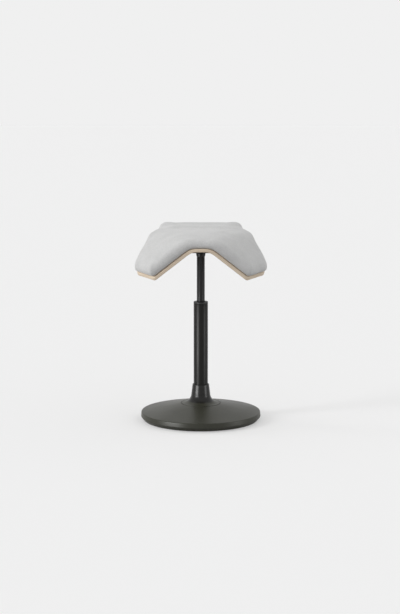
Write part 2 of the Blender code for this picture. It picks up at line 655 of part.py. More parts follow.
def build_cylinder(parent):
    tip = cylinder_radius(CYLINDER_TOP)
    low = CYLINDER_BOTTOM + CYLINDER_LIP
    high = CYLINDER_TOP - CYLINDER_LIP
    profile = [(tip, CYLINDER_TOP), (CYLINDER_RADIUS, SOCKET_BOTTOM), (CYLINDER_RADIUS, CYLINDER_BOTTOM)]
    profile += [(LIP_OPENING_RADIUS, CYLINDER_BOTTOM), (LIP_OPENING_RADIUS, low)]
    profile += [(CYLINDER_INNER_RADIUS, low), (CYLINDER_INNER_RADIUS, high)]
    profile += [(LIP_OPENING_RADIUS, high), (LIP_OPENING_RADIUS, CYLINDER_TOP)]
    piece("gas_cylinder", turned(profile, PART_STEPS + 4), "black_cylinder", parent)
    guide = ring(ROD_BORE_RADIUS, CORE_RADIUS, GUIDE_BOTTOM, GUIDE_BOTTOM + GUIDE_LENGTH, PART_STEPS)
    piece("rod_guide", guide, "black_plastic", parent)
    valve = ring(VALVE_PIN_RADIUS + GAP, CORE_RADIUS, VALVE_BOTTOM, VALVE_TOP, PART_STEPS)
    piece("valve_body", valve, "zinc", parent)


def build_valve_pin(parent):
    top = CYLINDER_TOP + VALVE_PIN_PROUD
    bottom = VALVE_BOTTOM - GAP
    profile = []
    for i in range(4):
        turn = math.radians(90) * i / 3
        profile.append((VALVE_PIN_RADIUS * math.sin(turn), top - VALVE_DOME * (1 - math.cos(turn))))
    profile += [(VALVE_PIN_RADIUS, bottom), (VALVE_HEAD_RADIUS, bottom)]
    profile += [(VALVE_HEAD_RADIUS, bottom - VALVE_HEAD_HEIGHT), (0.0, bottom - VALVE_HEAD_HEIGHT)]
    piece("valve_pin", turned(profile, SMALL_STEPS), "bright_steel", parent)


# Seat plate and lever


def build_socket(parent):
    top = PAN_FLOOR + SOCKET_RISE
    profile = [(SOCKET_RADIUS, top), (SOCKET_RADIUS, PAN_BOTTOM - SOCKET_NECK)]
    profile += [(SOCKET_FOOT_RADIUS, SOCKET_BOTTOM), (cylinder_radius(SOCKET_BOTTOM) + GAP, SOCKET_BOTTOM)]
    profile += [(cylinder_radius(top) + GAP, top)]
    return piece("taper_socket", turned(profile, PART_STEPS + 4), "black_steel", parent)


def screw_places():
    """Seat plate screws, in plan."""
    y = PAN_CHANNEL / 2 + PAN_FLANGE - SCREW_EDGE
    return [(-SCREW_X, -y, 0.0), (SCREW_X, -y, 0.0), (SCREW_X, y, 0.0), (-SCREW_X, y, 0.0)]


def build_seat_plate(parent):
    half = PAN_CHANNEL / 2
    brim = half + PAN_FLANGE
    tight = PAN_BEND - PAN_SHEET
    corners = [(-half, 0.0, PAN_BEND), (half, 0.0, PAN_BEND), (half, PAN_DEPTH - PAN_SHEET, tight)]
    corners += [(brim, PAN_DEPTH - PAN_SHEET, PAN_EDGE), (brim, PAN_DEPTH, PAN_EDGE)]
    corners += [(half - PAN_SHEET, PAN_DEPTH, PAN_BEND), (half - PAN_SHEET, PAN_SHEET, tight)]
    corners += [(PAN_SHEET - half, PAN_SHEET, tight), (PAN_SHEET - half, PAN_DEPTH, PAN_BEND)]
    corners += [(-brim, PAN_DEPTH, PAN_EDGE), (-brim, PAN_DEPTH - PAN_SHEET, PAN_EDGE)]
    corners += [(-half, PAN_DEPTH - PAN_SHEET, tight)]
    section = rounded_outline(corners)
    quarter = math.pi / 2
    plate = piece(
        "seat_plate",
        prism(section, -PAN_HALF_LENGTH, PAN_HALF_LENGTH),
        "black_steel",
        parent,
        (0.0, 0.0, PAN_BOTTOM),
        (quarter, 0.0, quarter),
    )
    opening = rod(SOCKET_RADIUS + GAP, PAN_BOTTOM - PAST, PAN_FLOOR + PAST, PART_STEPS + 4)
    combine(plate, helper("socket_opening", opening), "DIFFERENCE")
    hole = rod(SCREW_RADIUS + GAP, PAN_TOP - PAST, PAN_TOP + PAST, SMALL_STEPS)
    combine(plate, helper("plate_screw_holes", copies(hole, screw_places())), "DIFFERENCE")
    cross = rod(PIVOT_RADIUS + GAP, -half - PAST, half + PAST, SMALL_STEPS)
    place = (-PIVOT_DISTANCE, 0.0, LEVER_HEIGHT)
    combine(plate, helper("pivot_holes", cross, None, place, (quarter, 0.0, 0.0)), "DIFFERENCE")
    return plate


def build_seat_fasteners(parent):
    under = PAN_TOP - PAN_SHEET - GAP
    head = under - SCREW_HEAD_HEIGHT
    tip = PLY_TOP - NUT_FLANGE_THICKNESS
    profile = [(0.0, tip), (SCREW_RADIUS, tip), (SCREW_RADIUS, under), (SCREW_HEAD_RADIUS, under)]
    profile += [(SCREW_HEAD_RADIUS, head + EDGE_BREAK), (SCREW_HEAD_RADIUS - EDGE_BREAK, head), (0.0, head)]
    screw = turned(profile, SMALL_STEPS)
    bore = SCREW_RADIUS + GAP
    flange = PLY_TOP - NUT_FLANGE_THICKNESS
    foot = PLY_BOTTOM + NUT_SETBACK
    profile = [(NUT_FLANGE_RADIUS, PLY_TOP), (NUT_FLANGE_RADIUS, flange), (NUT_BARREL_RADIUS, flange)]
    profile += [(NUT_BARREL_RADIUS, foot), (bore, foot), (bore, PLY_TOP)]
    nut = turned(profile, SMALL_STEPS)
    for i, place in enumerate(screw_places()):
        piece(f"plate_screw_{i + 1}", screw, "zinc", parent, place)
        piece(f"tee_nut_{i + 1}", nut, "zinc", parent, place)


def lever_path():
    """Centre line of the lever rod in the pivot's own frame, as (x, z)."""
    bend = (-LEVER_RUN, 0.0)
    start = (PIVOT_DISTANCE + LEVER_OVERLAP, 0.0)
    tip = (bend[0] - LEVER_TAIL * math.cos(LEVER_DROP), -LEVER_TAIL * math.sin(LEVER_DROP))
    return [start, *rounded_corner(start, bend, tip, LEVER_BEND_RADIUS, CORNER_STEPS), tip]


def build_lever(parent, seat):
    quarter = math.pi / 2
    path = lever_path()
    curve = bpy.data.curves.new("lever", "CURVE")
    curve.dimensions = "3D"
    curve.bevel_depth = LEVER_RADIUS
    curve.bevel_resolution = 3
    curve.use_fill_caps = True
    spline = curve.splines.new("POLY")
    spline.points.add(len(path) - 1)
    for point, (x, z) in zip(spline.points, path):
        point.co = (x, 0.0, z, 1.0)
    arm = piece("lever_arm", as_mesh(bpy.data.objects.new("lever", curve)), "black_steel", parent)
    inside = PAN_CHANNEL / 2 - PAN_SHEET - GAP
    sleeve = rod(SLEEVE_RADIUS, -inside, inside, SMALL_STEPS)
    combine(arm, helper("pivot_sleeve", sleeve, parent, rotation=(quarter, 0.0, 0.0)), "UNION")
    bore = rod(PIVOT_RADIUS + GAP, -PAN_CHANNEL, PAN_CHANNEL, SMALL_STEPS)
    combine(arm, helper("pivot_bore", bore, parent, rotation=(quarter, 0.0, 0.0)), "DIFFERENCE")
    reach = PAN_CHANNEL / 2 + GAP
    end = reach + PIVOT_HEAD_HEIGHT
    profile = [(0.0, end), (PIVOT_HEAD_RADIUS, end), (PIVOT_HEAD_RADIUS, reach), (PIVOT_RADIUS, reach)]
    profile += [(PIVOT_RADIUS, -reach), (PIVOT_HEAD_RADIUS, -reach), (PIVOT_HEAD_RADIUS, -end), (0.0, -end)]
    place = (-PIVOT_DISTANCE, 0.0, LEVER_HEIGHT)
    piece("lever_pivot", turned(profile, SMALL_STEPS), "zinc", seat, place, (quarter, 0.0, 0.0))
    build_grip(parent, path[-1])


def build_grip(parent, tip):
    bm = bmesh.new()
    bmesh.ops.create_cube(bm, size=1.0)
    bmesh.ops.scale(bm, verts=bm.verts, vec=(GRIP_LENGTH, GRIP_WIDTH, GRIP_THICKNESS))
    bmesh.ops.translate(bm, verts=bm.verts, vec=(GRIP_TIP - GRIP_LENGTH / 2, 0.0, 0.0))
    mesh = bpy.data.meshes.new("grip")
    bm.to_mesh(mesh)
    bm.free()
    place = (tip[0], 0.0, tip[1])
    turn = (0.0, math.pi - LEVER_DROP, 0.0)
    grip = piece("lever_grip", mesh, "black_plastic", parent, place, turn)
    bevel = grip.modifiers.new("Round", "BEVEL")
    bevel.width = GRIP_ROUND
    bevel.segments = 3
    bore = rod(LEVER_RADIUS + GAP, -GRIP_LENGTH, GAP, SMALL_STEPS)
    bore.transform(Matrix.Rotation(math.pi / 2, 4, "Y"))
    combine(grip, helper("grip_bore", bore, parent, place, turn), "DIFFERENCE")


# Folded seat


def fold_half_width(y):
    """Half the width of the crown, bend line to bend line, at this depth."""
    return CROWN_HALF_WIDTH + (y + SEAT_FRONT) * math.tan(FOLD_SPREAD)


def cantle(y):
    """Rise of the rear of the seat, with its slope."""
    share = max(0.0, (y - SEAT_REAR + CANTLE_LENGTH) / CANTLE_LENGTH)
    return CANTLE_LIFT * share * share, 2 * CANTLE_LIFT * share / CANTLE_LENGTH


def fold_slope(x, y):
    """Distance past the bend line, the fall there and its slope."""
    past = (abs(x) - fold_half_width(y)) * math.cos(FOLD_SPREAD)
    steep = math.tan(FOLD_ANGLE)
    if past >= BEND_HALF_WIDTH:
        return past * steep, steep
    into = max(0.0, past + BEND_HALF_WIDTH)
    return steep * into * into / (4 * BEND_HALF_WIDTH), steep * into / (2 * BEND_HALF_WIDTH)


def sheet_height(x, y):
    """Upper face of the plywood."""
    return PLY_TOP + cantle(y)[0] - fold_slope(x, y)[0]


def sheet_normal(x, y):
    steep = fold_slope(x, y)[1]
    side = math.copysign(steep * math.cos(FOLD_SPREAD), x)
    return Vector((side, -steep * math.sin(FOLD_SPREAD) - cantle(y)[1], 1.0)).normalized()


def seat_outline(inset=0.0):
    """The seat's outline in plan, anticlockwise from the nose."""
    right = [(*FRONT_CORNER, FRONT_CORNER_RADIUS), (*SIDE_CORNER, SIDE_CORNER_RADIUS)]
    right += [(*SHOULDER, SHOULDER_RADIUS), (REAR_CORNER_HALF_WIDTH, SEAT_REAR, REAR_CORNER_RADIUS)]
    left = [(-x, y, radius) for x, y, radius in reversed(right)]
    points = divided(rounded_outline([(0.0, -SEAT_FRONT, NOSE_RADIUS), *right, *left]), LONGEST_EDGE)
    return [inward(points, i, inset) for i in range(len(points))]


def inward(points, index, distance):
    """A point of the outline moved in towards the column by a distance square to the outline."""
    here = Vector(points[index])
    along = Vector(points[(index + 1) % len(points)]) - Vector(points[index - 1])
    out = Vector((along.y, -along.x)).normalized()
    return tuple(here - here.normalized() * (distance / max(0.5, out.dot(here.normalized()))))


def sheet(shift):
    """The folded surface as an open grid whose lines follow the bends, wider than the seat."""
    columns = BEND_STEPS + 2
    bm = bmesh.new()
    bmesh.ops.create_grid(bm, x_segments=2 * columns, y_segments=SHEET_ROWS, size=1.0)
    front = -SEAT_FRONT - SHEET_MARGIN
    rear = SEAT_REAR + SHEET_MARGIN
    for vert in bm.verts:
        y = front + (rear - front) * (vert.co.y + 1) / 2
        column = round(abs(vert.co.x) * columns)
        share = (column - 1) / BEND_STEPS
        x = fold_half_width(y) + BEND_HALF_WIDTH * (2 * share - 1) / math.cos(FOLD_SPREAD)
        if column == 0:
            x = 0.0
        if column == columns:
            x = fold_half_width(rear) + SHEET_WING
        x = math.copysign(x, vert.co.x)
        vert.co = (x, y, sheet_height(x, y) + shift)
    mesh = bpy.data.meshes.new("sheet")
    bm.to_mesh(mesh)
    bm.free()
    return mesh


def edge_places(plan, height):
    """Places this far along the edge's lean, above or below the sheet, over these points of the plan."""
    places = []
    for x, y in plan:
        lean = Vector((0.0, 0.0, 1.0)).lerp(sheet_normal(x, y), EDGE_LEAN)
        places.append(Vector((x, y, sheet_height(x, y))) + lean * height)
    return places


def outline_cutter(inset):
    """What lies inside the seat's outline. Its walls lean with the sheet, and so do the boards' edges."""
    plan = seat_outline(inset)
    bm = bmesh.new()
    low = [bm.verts.new(place) for place in edge_places(plan, -PLY_THICKNESS * 2 - PAST)]
    high = [bm.verts.new(place) for place in edge_places(plan, PAST * 2)]
    top = bm.verts.new((0.0, 0.0, PLY_TOP + FAR))
    bottom = bm.verts.new((0.0, 0.0, PLY_TOP - FAR))
    for i in range(len(plan)):
        k = (i + 1) % len(plan)
        bm.faces.new((low[i], low[k], high[k], high[i]))
        bm.faces.new((high[i], high[k], top))
        bm.faces.new((low[k], low[i], bottom))
    mesh = bpy.data.meshes.new("outline")
    bm.to_mesh(mesh)
    bm.free()
    return mesh


def folded_board(shift, thickness, inset):
    """A folded board: the grid thickened, and the cutter that gives it the seat's outline."""
    obj = bpy.data.objects.new("board", sheet(shift))
    solid = obj.modifiers.new("Thickness", "SOLIDIFY")
    solid.thickness = thickness
    solid.offset = -1.0
    solid.use_even_offset = True
    return as_mesh(obj), outline_cutter(inset)


def space_below(shift):
    """Everything under the folded surface, as a cutter."""
    mesh = sheet(shift)
    bm = bmesh.new()
    bm.from_mesh(mesh)
    moved = bmesh.ops.extrude_face_region(bm, geom=bm.faces[:])
    lowered = [item for item in moved["geom"] if isinstance(item, bmesh.types.BMVert)]
    bmesh.ops.translate(bm, verts=lowered, vec=(0.0, 0.0, -FAR))
    bmesh.ops.recalc_face_normals(bm, faces=bm.faces[:])
    bm.to_mesh(mesh)
    bm.free()
    return mesh


def pad_screw_places():
    return [(side * x, y, 0.0) for x, y in PAD_SCREWS for side in (-1, 1)]


def build_seat_shell(parent):
    board, outline = folded_board(0.0, PLY_THICKNESS, 0.0)
    shell = piece("seat_shell", board, "pale_plywood", parent)
    combine(shell, helper("shell_outline", outline), "INTERSECT")
    clear = NUT_BARREL_RADIUS + GAP
    well = NUT_FLANGE_RADIUS + GAP
    shelf = PLY_TOP - NUT_FLANGE_THICKNESS - GAP
    hole = [(0.0, PLY_TOP + PAST), (well, PLY_TOP + PAST), (well, shelf), (clear, shelf)]
    hole += [(clear, PLY_BOTTOM - PAST), (0.0, PLY_BOTTOM - PAST)]
    wells = copies(turned(hole, SMALL_STEPS), screw_places())
    combine(shell, helper("tee_nut_wells", wells), "DIFFERENCE")
    drill = rod(PAD_SCREW_RADIUS + GAP, PLY_BOTTOM - PAST, PLY_TOP + BOARD_THICKNESS + PAST, SMALL_STEPS)
    drills = helper("pad_screw_holes", copies(drill, pad_screw_places()))
    combine(shell, drills, "DIFFERENCE")
    return drills


def build_pad_board(parent, drills):
    shift = SHEET_SHIFT + BOARD_THICKNESS / math.cos(FOLD_ANGLE)
    board, outline = folded_board(shift, BOARD_THICKNESS, BOARD_INSET)
    pad = piece("pad_board", board, "board", parent)
    combine(pad, helper("board_outline", outline), "INTERSECT")
    combine(pad, drills, "DIFFERENCE")


def pad_height(x, y):
    """Height of the pad where its rounded edge ends."""
    along = (y + SEAT_FRONT) / (SEAT_FRONT + SEAT_REAR)
    folded = fold_slope(x, y)[1] / math.tan(FOLD_ANGLE)
    return (PAD_NOSE + (PAD_REAR - PAD_NOSE) * along) * (1 - PAD_WING_THINNING * folded)


def ridge_shares(x, y):
    """Where the way out to this point of the edge meets the bend's two lines, as shares of it."""
    reach = max(0.001, abs(x) * math.cos(FOLD_SPREAD) - y * math.sin(FOLD_SPREAD))
    middle = fold_half_width(0.0) * math.cos(FOLD_SPREAD)
    return min(0.85, (middle + BEND_HALF_WIDTH) / reach), min(0.58, (middle - BEND_HALF_WIDTH) / reach), 0.22


def pad_solid(skin):
    """The pad's rounded body, this much inside its outer face. Its underside reaches below the plywood."""
    outline = seat_outline()
    count = len(outline)
    edge = [(PAD_TUCK + skin, -PAD_ALLOWANCE, 0.0), (skin, PAD_SIDE, 0.0)]
    for i in range(1, 4):
        turn = math.radians(90) * i / 3
        edge.append((PAD_ROUND - (PAD_ROUND - skin) * math.cos(turn), PAD_SIDE, math.sin(turn)))
    loops = []
    for inset, height, rise in edge:
        loop = []
        for x, y in [inward(outline, i, inset) for i in range(count)]:
            loop.append((x, y, height + rise * (pad_height(x, y) - PAD_SIDE - skin)))
        loops.append(loop)
    for k in range(3):
        loop = []
        for x, y, _ in loops[len(edge) - 1]:
            share = ridge_shares(x, y)[k]
            crown = PAD_CROWN * (1 - share * share)
            loop.append((x * share, y * share, pad_height(x * share, y * share) - skin + crown))
        loops.append(loop)
    bm = bmesh.new()
    rings = []
    for loop in loops:
        places = [Vector((x, y, sheet_height(x, y))) + sheet_normal(x, y) * height for x, y, height in loop]
        rings.append([bm.verts.new(place) for place in places])
    top = bm.verts.new((0.0, 0.0, PLY_TOP + pad_height(0.0, 0.0) - skin + PAD_CROWN))
    bottom = bm.verts.new((0.0, 0.0, PLY_TOP - FAR / 2))
    for low, high in zip(rings, rings[1:]):
        for i in range(count):
            k = (i + 1) % count
            bm.faces.new((low[i], low[k], high[k], high[i]))
    for i in range(count):
        k = (i + 1) % count
        bm.faces.new((rings[-1][i], rings[-1][k], top))
        bm.faces.new((rings[0][k], rings[0][i], bottom))
    bmesh.ops.triangulate(bm, faces=bm.faces[:], quad_method="FIXED")
    mesh = bpy.data.meshes.new("pad")
    bm.to_mesh(mesh)
    bm.free()
    return shaded(mesh)


def build_pad(parent):
    cover = piece("pad_cover", pad_solid(0.0), "grey_felt", parent)
    combine(cover, helper("cover_inside", pad_solid(COVER_THICKNESS)), "DIFFERENCE")
    combine(cover, helper("below_cover", space_below(SHEET_SHIFT)), "DIFFERENCE")
    foam = piece("pad_foam", pad_solid(COVER_THICKNESS + GAP), "foam", parent)
    combine(foam, helper("below_foam", space_below(BOARD_SHIFT)), "DIFFERENCE")


def build_pad_screws(parent):
    seat = PLY_BOTTOM - GAP
    under = seat - PAD_SCREW_HEAD_HEIGHT
    tip = PLY_TOP + SHEET_SHIFT + BOARD_THICKNESS * 0.8
    profile = [(0.0, tip), (PAD_SCREW_RADIUS, tip), (PAD_SCREW_RADIUS, seat), (PAD_SCREW_HEAD_RADIUS, seat)]
    profile += [(PAD_SCREW_HEAD_RADIUS - EDGE_BREAK, under), (0.0, under)]
    mesh = turned(profile, SMALL_STEPS)
    for i, place in enumerate(pad_screw_places()):
        piece(f"pad_screw_{i + 1}", mesh, "zinc", parent, place)


def main():
    clear_scene()
    base = empty("base_frame", None, (0.0, 0.0, 0.0))
    swivel = empty("swivel_axis", base, (0.0, 0.0, 0.0))
    lift = empty("lift_axis", swivel, (0.0, 0.0, 0.0))
    lever = empty("lever_axis", lift, (-PIVOT_DISTANCE, 0.0, LEVER_HEIGHT))
    valve = empty("valve_axis", lift, (0.0, 0.0, 0.0))
    build_base_cover(base)
    build_base_weight(base)
    build_foot_ring(base)
    build_hub(base)
    build_hub_bolts(base)
    build_tube(base)
    build_bush(base)
    build_bearing(base, swivel)
    build_rod(swivel)
    build_piston(swivel)
    build_rod_fittings(swivel)
    build_cylinder(lift)
    build_valve_pin(valve)
    build_socket(lift)
    build_seat_plate(lift)
    build_seat_fasteners(lift)
    build_lever(lever, lift)
    drills = build_seat_shell(lift)
    build_pad_board(lift, drills)
    build_pad(lift)
    build_pad_screws(lift)


if __name__ == "__main__":
    main()
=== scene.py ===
import json
import math

import bmesh
import bpy
import numpy as np
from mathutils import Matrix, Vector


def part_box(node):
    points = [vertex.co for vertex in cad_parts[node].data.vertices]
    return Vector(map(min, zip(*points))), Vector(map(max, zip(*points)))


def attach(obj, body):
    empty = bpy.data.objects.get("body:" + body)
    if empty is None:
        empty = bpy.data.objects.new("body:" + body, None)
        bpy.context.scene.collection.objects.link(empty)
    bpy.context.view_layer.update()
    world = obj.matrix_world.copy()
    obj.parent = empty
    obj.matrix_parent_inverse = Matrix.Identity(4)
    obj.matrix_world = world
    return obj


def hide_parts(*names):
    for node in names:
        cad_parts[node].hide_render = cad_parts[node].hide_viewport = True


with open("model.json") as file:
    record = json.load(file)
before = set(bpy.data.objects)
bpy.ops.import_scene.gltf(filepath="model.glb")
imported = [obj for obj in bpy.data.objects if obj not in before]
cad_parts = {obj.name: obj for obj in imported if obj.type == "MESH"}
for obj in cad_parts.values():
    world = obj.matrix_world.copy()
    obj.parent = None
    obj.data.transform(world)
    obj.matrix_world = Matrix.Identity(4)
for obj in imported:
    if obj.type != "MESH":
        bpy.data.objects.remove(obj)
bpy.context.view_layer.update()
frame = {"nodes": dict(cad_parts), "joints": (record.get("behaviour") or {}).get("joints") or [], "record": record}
nodes = frame["nodes"]
print("frame:", len(nodes), "nodes")

# all lengths are in metres; the floor is at zero height and the seat's nose points to -Y


# Profiles and grids

# a polyline whose corners become arcs: each corner point is cut back along both its sides by
# radius / tan(half the angle between them), and the arc between the cuts is swept in even turns
def softPath(corners, arcSteps=8, closed=True):
    points = np.array([corner[:2] for corner in corners], float)
    radii = [corner[2] if len(corner) > 2 else 0.0 for corner in corners]
    path = []
    for i, (corner, radius) in enumerate(zip(points, radii)):
        isEnd = not closed and i in (0, len(points) - 1)
        if radius <= 0 or isEnd:
            path.append(corner[None])
            continue
        before = points[i - 1] - corner
        after = points[(i + 1) % len(points)] - corner
        before = before / np.linalg.norm(before)
        after = after / np.linalg.norm(after)
        half = math.acos(np.clip(before @ after, -1, 1)) / 2
        centre = corner + (before + after) / np.linalg.norm(before + after) * radius / math.sin(half)
        first = corner + before * radius / math.tan(half) - centre
        last = corner + after * radius / math.tan(half) - centre
        turn = math.atan2(first[0] * last[1] - first[1] * last[0], first @ last)
        angles = turn * np.linspace(0, 1, arcSteps + 1)
        cos, sin = np.cos(angles), np.sin(angles)
        arc = np.stack([first[0] * cos - first[1] * sin, first[0] * sin + first[1] * cos], axis=1)
        path.append(centre + arc)
    return np.concatenate(path)


# the same path with every stretch cut into equal lengths no longer than the step
def evenPath(path, step, closed=True):
    ends = np.roll(path, -1, axis=0) if closed else path[1:]
    starts = path if closed else path[:-1]
    counts = np.maximum(1, np.ceil(np.linalg.norm(ends - starts, axis=1) / step)).astype(int)
    index = np.repeat(np.arange(len(starts)), counts)
    share = (np.arange(counts.sum()) - np.repeat(np.cumsum(counts) - counts, counts)) / counts[index]
    fine = starts[index] + (ends - starts)[index] * share[:, None]
    return fine if closed else np.concatenate([fine, path[-1:]])


# quads between neighbouring rows of a grid whose columns close on themselves, and whose rows can
def gridFaces(rows, columns, closeRows=False):
    row = np.arange(rows if closeRows else rows - 1)[:, None]
    column = np.arange(columns)[None]
    nextRow, nextColumn = (row + 1) % rows, (column + 1) % columns
    corners = [row * columns + column, row * columns + nextColumn,
               nextRow * columns + nextColumn, nextRow * columns + column]
    return np.stack(np.broadcast_arrays(*corners), axis=-1).reshape(-1, 4)


meshing = {"mergeWithin": 0.000002, "leastEdge": 0.0000005}


# points and faces become a mesh with poles and seams merged, faces turned outwards and smooth shading
def makeMesh(name, points, faces, attributes=None):
    mesh = bpy.data.meshes.new(name)
    mesh.from_pydata(np.asarray(points, float).reshape(-1, 3).tolist(), [], faces.tolist())
    for key, values in (attributes or {}).items():
        layer = mesh.attributes.new(key, "FLOAT", "POINT")
        layer.data.foreach_set("value", np.asarray(values, np.float32).ravel())
    bm = bmesh.new()
    bm.from_mesh(mesh)
    bmesh.ops.remove_doubles(bm, verts=bm.verts, dist=meshing["mergeWithin"])
    bmesh.ops.dissolve_degenerate(bm, edges=bm.edges, dist=meshing["leastEdge"])
    bmesh.ops.recalc_face_normals(bm, faces=bm.faces)
    bm.to_mesh(mesh)
    bm.free()
    mesh.shade_smooth()
    return mesh


# a finished piece rides on its body, takes its finish from a slot and stands for its CAD nodes
def addPiece(name, mesh, material, body, replaced):
    piece = bpy.data.objects.new(name, mesh)
    bpy.context.scene.collection.objects.link(piece)
    mesh.materials.clear()
    mesh.materials.append(material)
    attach(piece, body)
    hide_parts(*replaced)


# a profile of (radius, height) turned about the column's axis: point = (r cos a, r sin a, z)
def turnedMesh(name, profile, steps):
    angle = np.linspace(0, 2 * np.pi, steps, endpoint=False)
    radius, height = profile[:, 0, None], profile[:, 1, None]
    points = np.stack(np.broadcast_arrays(radius * np.cos(angle), radius * np.sin(angle), height), axis=-1)
    return makeMesh(name, points, gridFaces(len(profile), steps, closeRows=True))


# Finishes

def addNode(tree, kind, inputs, **options):
    node = tree.nodes.new("ShaderNode" + kind)
    for key, value in options.items():
        setattr(node, key, value)
    for key, value in inputs.items():
        if isinstance(value, bpy.types.NodeSocket):
            tree.links.new(value, node.inputs[key])
        else:
            node.inputs[key].default_value = value
    return node


def calc(tree, operation, first, second):
    return addNode(tree, "Math", {0: first, 1: second}, operation=operation).outputs[0]


def newFinish(name, shine):
    material = bpy.data.materials.new(name)
    material.use_nodes = True
    tree = material.node_tree
    shader = tree.nodes["Principled BSDF"]
    for key, value in shine.items():
        shader.inputs[key].default_value = value
    place = addNode(tree, "TexCoord", {}).outputs["Object"]
    return material, tree, shader, place


def grain(tree, place, scale, stretch=(1, 1, 1), detail=4.0, roughness=0.55):
    mapped = addNode(tree, "Mapping", {"Vector": place, "Scale": stretch}).outputs["Vector"]
    inputs = {"Vector": mapped, "Scale": scale, "Detail": detail, "Roughness": roughness}
    return addNode(tree, "TexNoise", inputs).outputs["Fac"]


def remap(tree, value, low, high, fromLow=0.0, fromHigh=1.0):
    inputs = {"Value": value, "From Min": fromLow, "From Max": fromHigh, "To Min": low, "To Max": high}
    return addNode(tree, "MapRange", inputs).outputs["Result"]


def mixColour(tree, share, first, second):
    node = addNode(tree, "Mix", {"Factor": share}, data_type="RGBA")
    for socket, value in ((node.inputs[6], first), (node.inputs[7], second)):
        if isinstance(value, bpy.types.NodeSocket):
            tree.links.new(value, socket)
        else:
            socket.default_value = (*value, 1.0)
    return node.outputs[2]


def bumpFrom(tree, height, strength, distance):
    inputs = {"Height": height, "Strength": strength, "Distance": distance}
    return addNode(tree, "Bump", inputs).outputs["Normal"]


# painted, moulded and metal surfaces: two shades mixed by a soft cloud, with specks of the second shade where the
# fine grain is high, roughness from cloud times grain, and the grain as bump; stretch draws the grain out along
# one axis for turned or brushed metal
def solidFinish(name, settings):
    shine = {"Metallic": settings.get("metallic", 0.0), "Specular IOR Level": settings.get("specular", 0.5)}
    material, tree, shader, place = newFinish(name, shine)
    cloud = remap(tree, grain(tree, place, settings["cloud"], detail=3.0), 0.0, 1.0, 0.3, 0.7)
    fine = grain(tree, place, settings["fine"], settings.get("stretch", (1, 1, 1)))
    colour = mixColour(tree, cloud, settings["colour"], settings["shade"])
    speck = remap(tree, fine, 0.0, settings.get("speck", 0.25), 0.45, 0.75)
    colour = mixColour(tree, speck, colour, settings["shade"])
    low, high = settings["roughness"]
    tree.links.new(colour, shader.inputs["Base Color"])
    patches = remap(tree, calc(tree, "MULTIPLY", cloud, fine), low, high, 0.0, 0.6)
    tree.links.new(patches, shader.inputs["Roughness"])
    tree.links.new(bumpFrom(tree, fine, settings["bump"], settings["depth"]), shader.inputs["Normal"])
    return material


solidFinishes = {
    "base_powder": {
        "colour": (0.037, 0.0375, 0.0265), "shade": (0.033, 0.0335, 0.0235), "roughness": (0.36, 0.44),
        "specular": 0.30, "cloud": 9.0, "fine": 1500.0, "bump": 0.25, "depth": 0.00008,
    },
    "hub_gloss": {
        "colour": (0.010, 0.0095, 0.0085), "shade": (0.008, 0.0076, 0.007), "roughness": (0.28, 0.35),
        "specular": 0.30, "cloud": 14.0, "fine": 900.0, "bump": 0.15, "depth": 0.00006,
    },
    "black_steel": {
        "colour": (0.012, 0.0115, 0.010), "shade": (0.009, 0.0088, 0.008), "roughness": (0.30, 0.37),
        "specular": 0.18, "cloud": 12.0, "fine": 1100.0, "bump": 0.2, "depth": 0.00008,
    },
    "black_cylinder": {
        "colour": (0.009, 0.009, 0.0095), "shade": (0.007, 0.007, 0.0075), "roughness": (0.26, 0.34),
        "specular": 0.28, "cloud": 12.0, "fine": 500.0, "bump": 0.12, "depth": 0.00005, "stretch": (1, 1, 0.02),
    },
    "black_plastic": {
        "colour": (0.012, 0.012, 0.0125), "shade": (0.009, 0.009, 0.0095), "roughness": (0.42, 0.55),
        "cloud": 20.0, "fine": 1300.0, "bump": 0.4, "depth": 0.00015,
    },
    "rubber": {
        "colour": (0.016, 0.016, 0.016), "shade": (0.026, 0.025, 0.024), "roughness": (0.70, 0.88),
        "specular": 0.3, "cloud": 18.0, "fine": 700.0, "bump": 0.4, "depth": 0.0002,
    },
    "iron": {
        "colour": (0.115, 0.108, 0.100), "shade": (0.060, 0.052, 0.045), "roughness": (0.45, 0.68), "metallic": 0.85,
        "cloud": 16.0, "fine": 420.0, "bump": 0.6, "depth": 0.0003, "speck": 0.5,
    },
    "zinc": {
        "colour": (0.62, 0.62, 0.60), "shade": (0.44, 0.44, 0.45), "roughness": (0.24, 0.42), "metallic": 1.0,
        "cloud": 160.0, "fine": 1500.0, "bump": 0.12, "depth": 0.00005,
    },
    "bright_steel": {
        "colour": (0.70, 0.70, 0.70), "shade": (0.58, 0.58, 0.59), "roughness": (0.12, 0.22), "metallic": 1.0,
        "cloud": 60.0, "fine": 900.0, "bump": 0.08, "depth": 0.00003, "stretch": (1, 1, 0.05),
    },
    "pale_plastic": {
        "colour": (0.78, 0.76, 0.70), "shade": (0.68, 0.66, 0.60), "roughness": (0.38, 0.52),
        "cloud": 60.0, "fine": 900.0, "bump": 0.15, "depth": 0.0001,
    },
    "board": {
        "colour": (0.30, 0.19, 0.11), "shade": (0.20, 0.12, 0.065), "roughness": (0.65, 0.85),
        "cloud": 40.0, "fine": 700.0, "bump": 0.4, "depth": 0.0002, "stretch": (1, 0.08, 1), "speck": 0.6,
    },
}

finishes = {slot: solidFinish(slot, settings) for slot, settings in solidFinishes.items()}
for entry in frame["record"]["subparts"]:
    finish = finishes.get(entry["material_slot"])
    if finish:
        nodes[entry["node"]].data.materials.clear()
        nodes[entry["node"]].data.materials.append(finish)
print("finishes:", ", ".join(finishes))


# the hub's cast body is gloss black, and its flat flange has the powder coat of the base:
# the share of powder rises with the distance from the column's axis
hubFinish = {"bodyRadius": 0.0440, "flangeRadius": 0.0500}


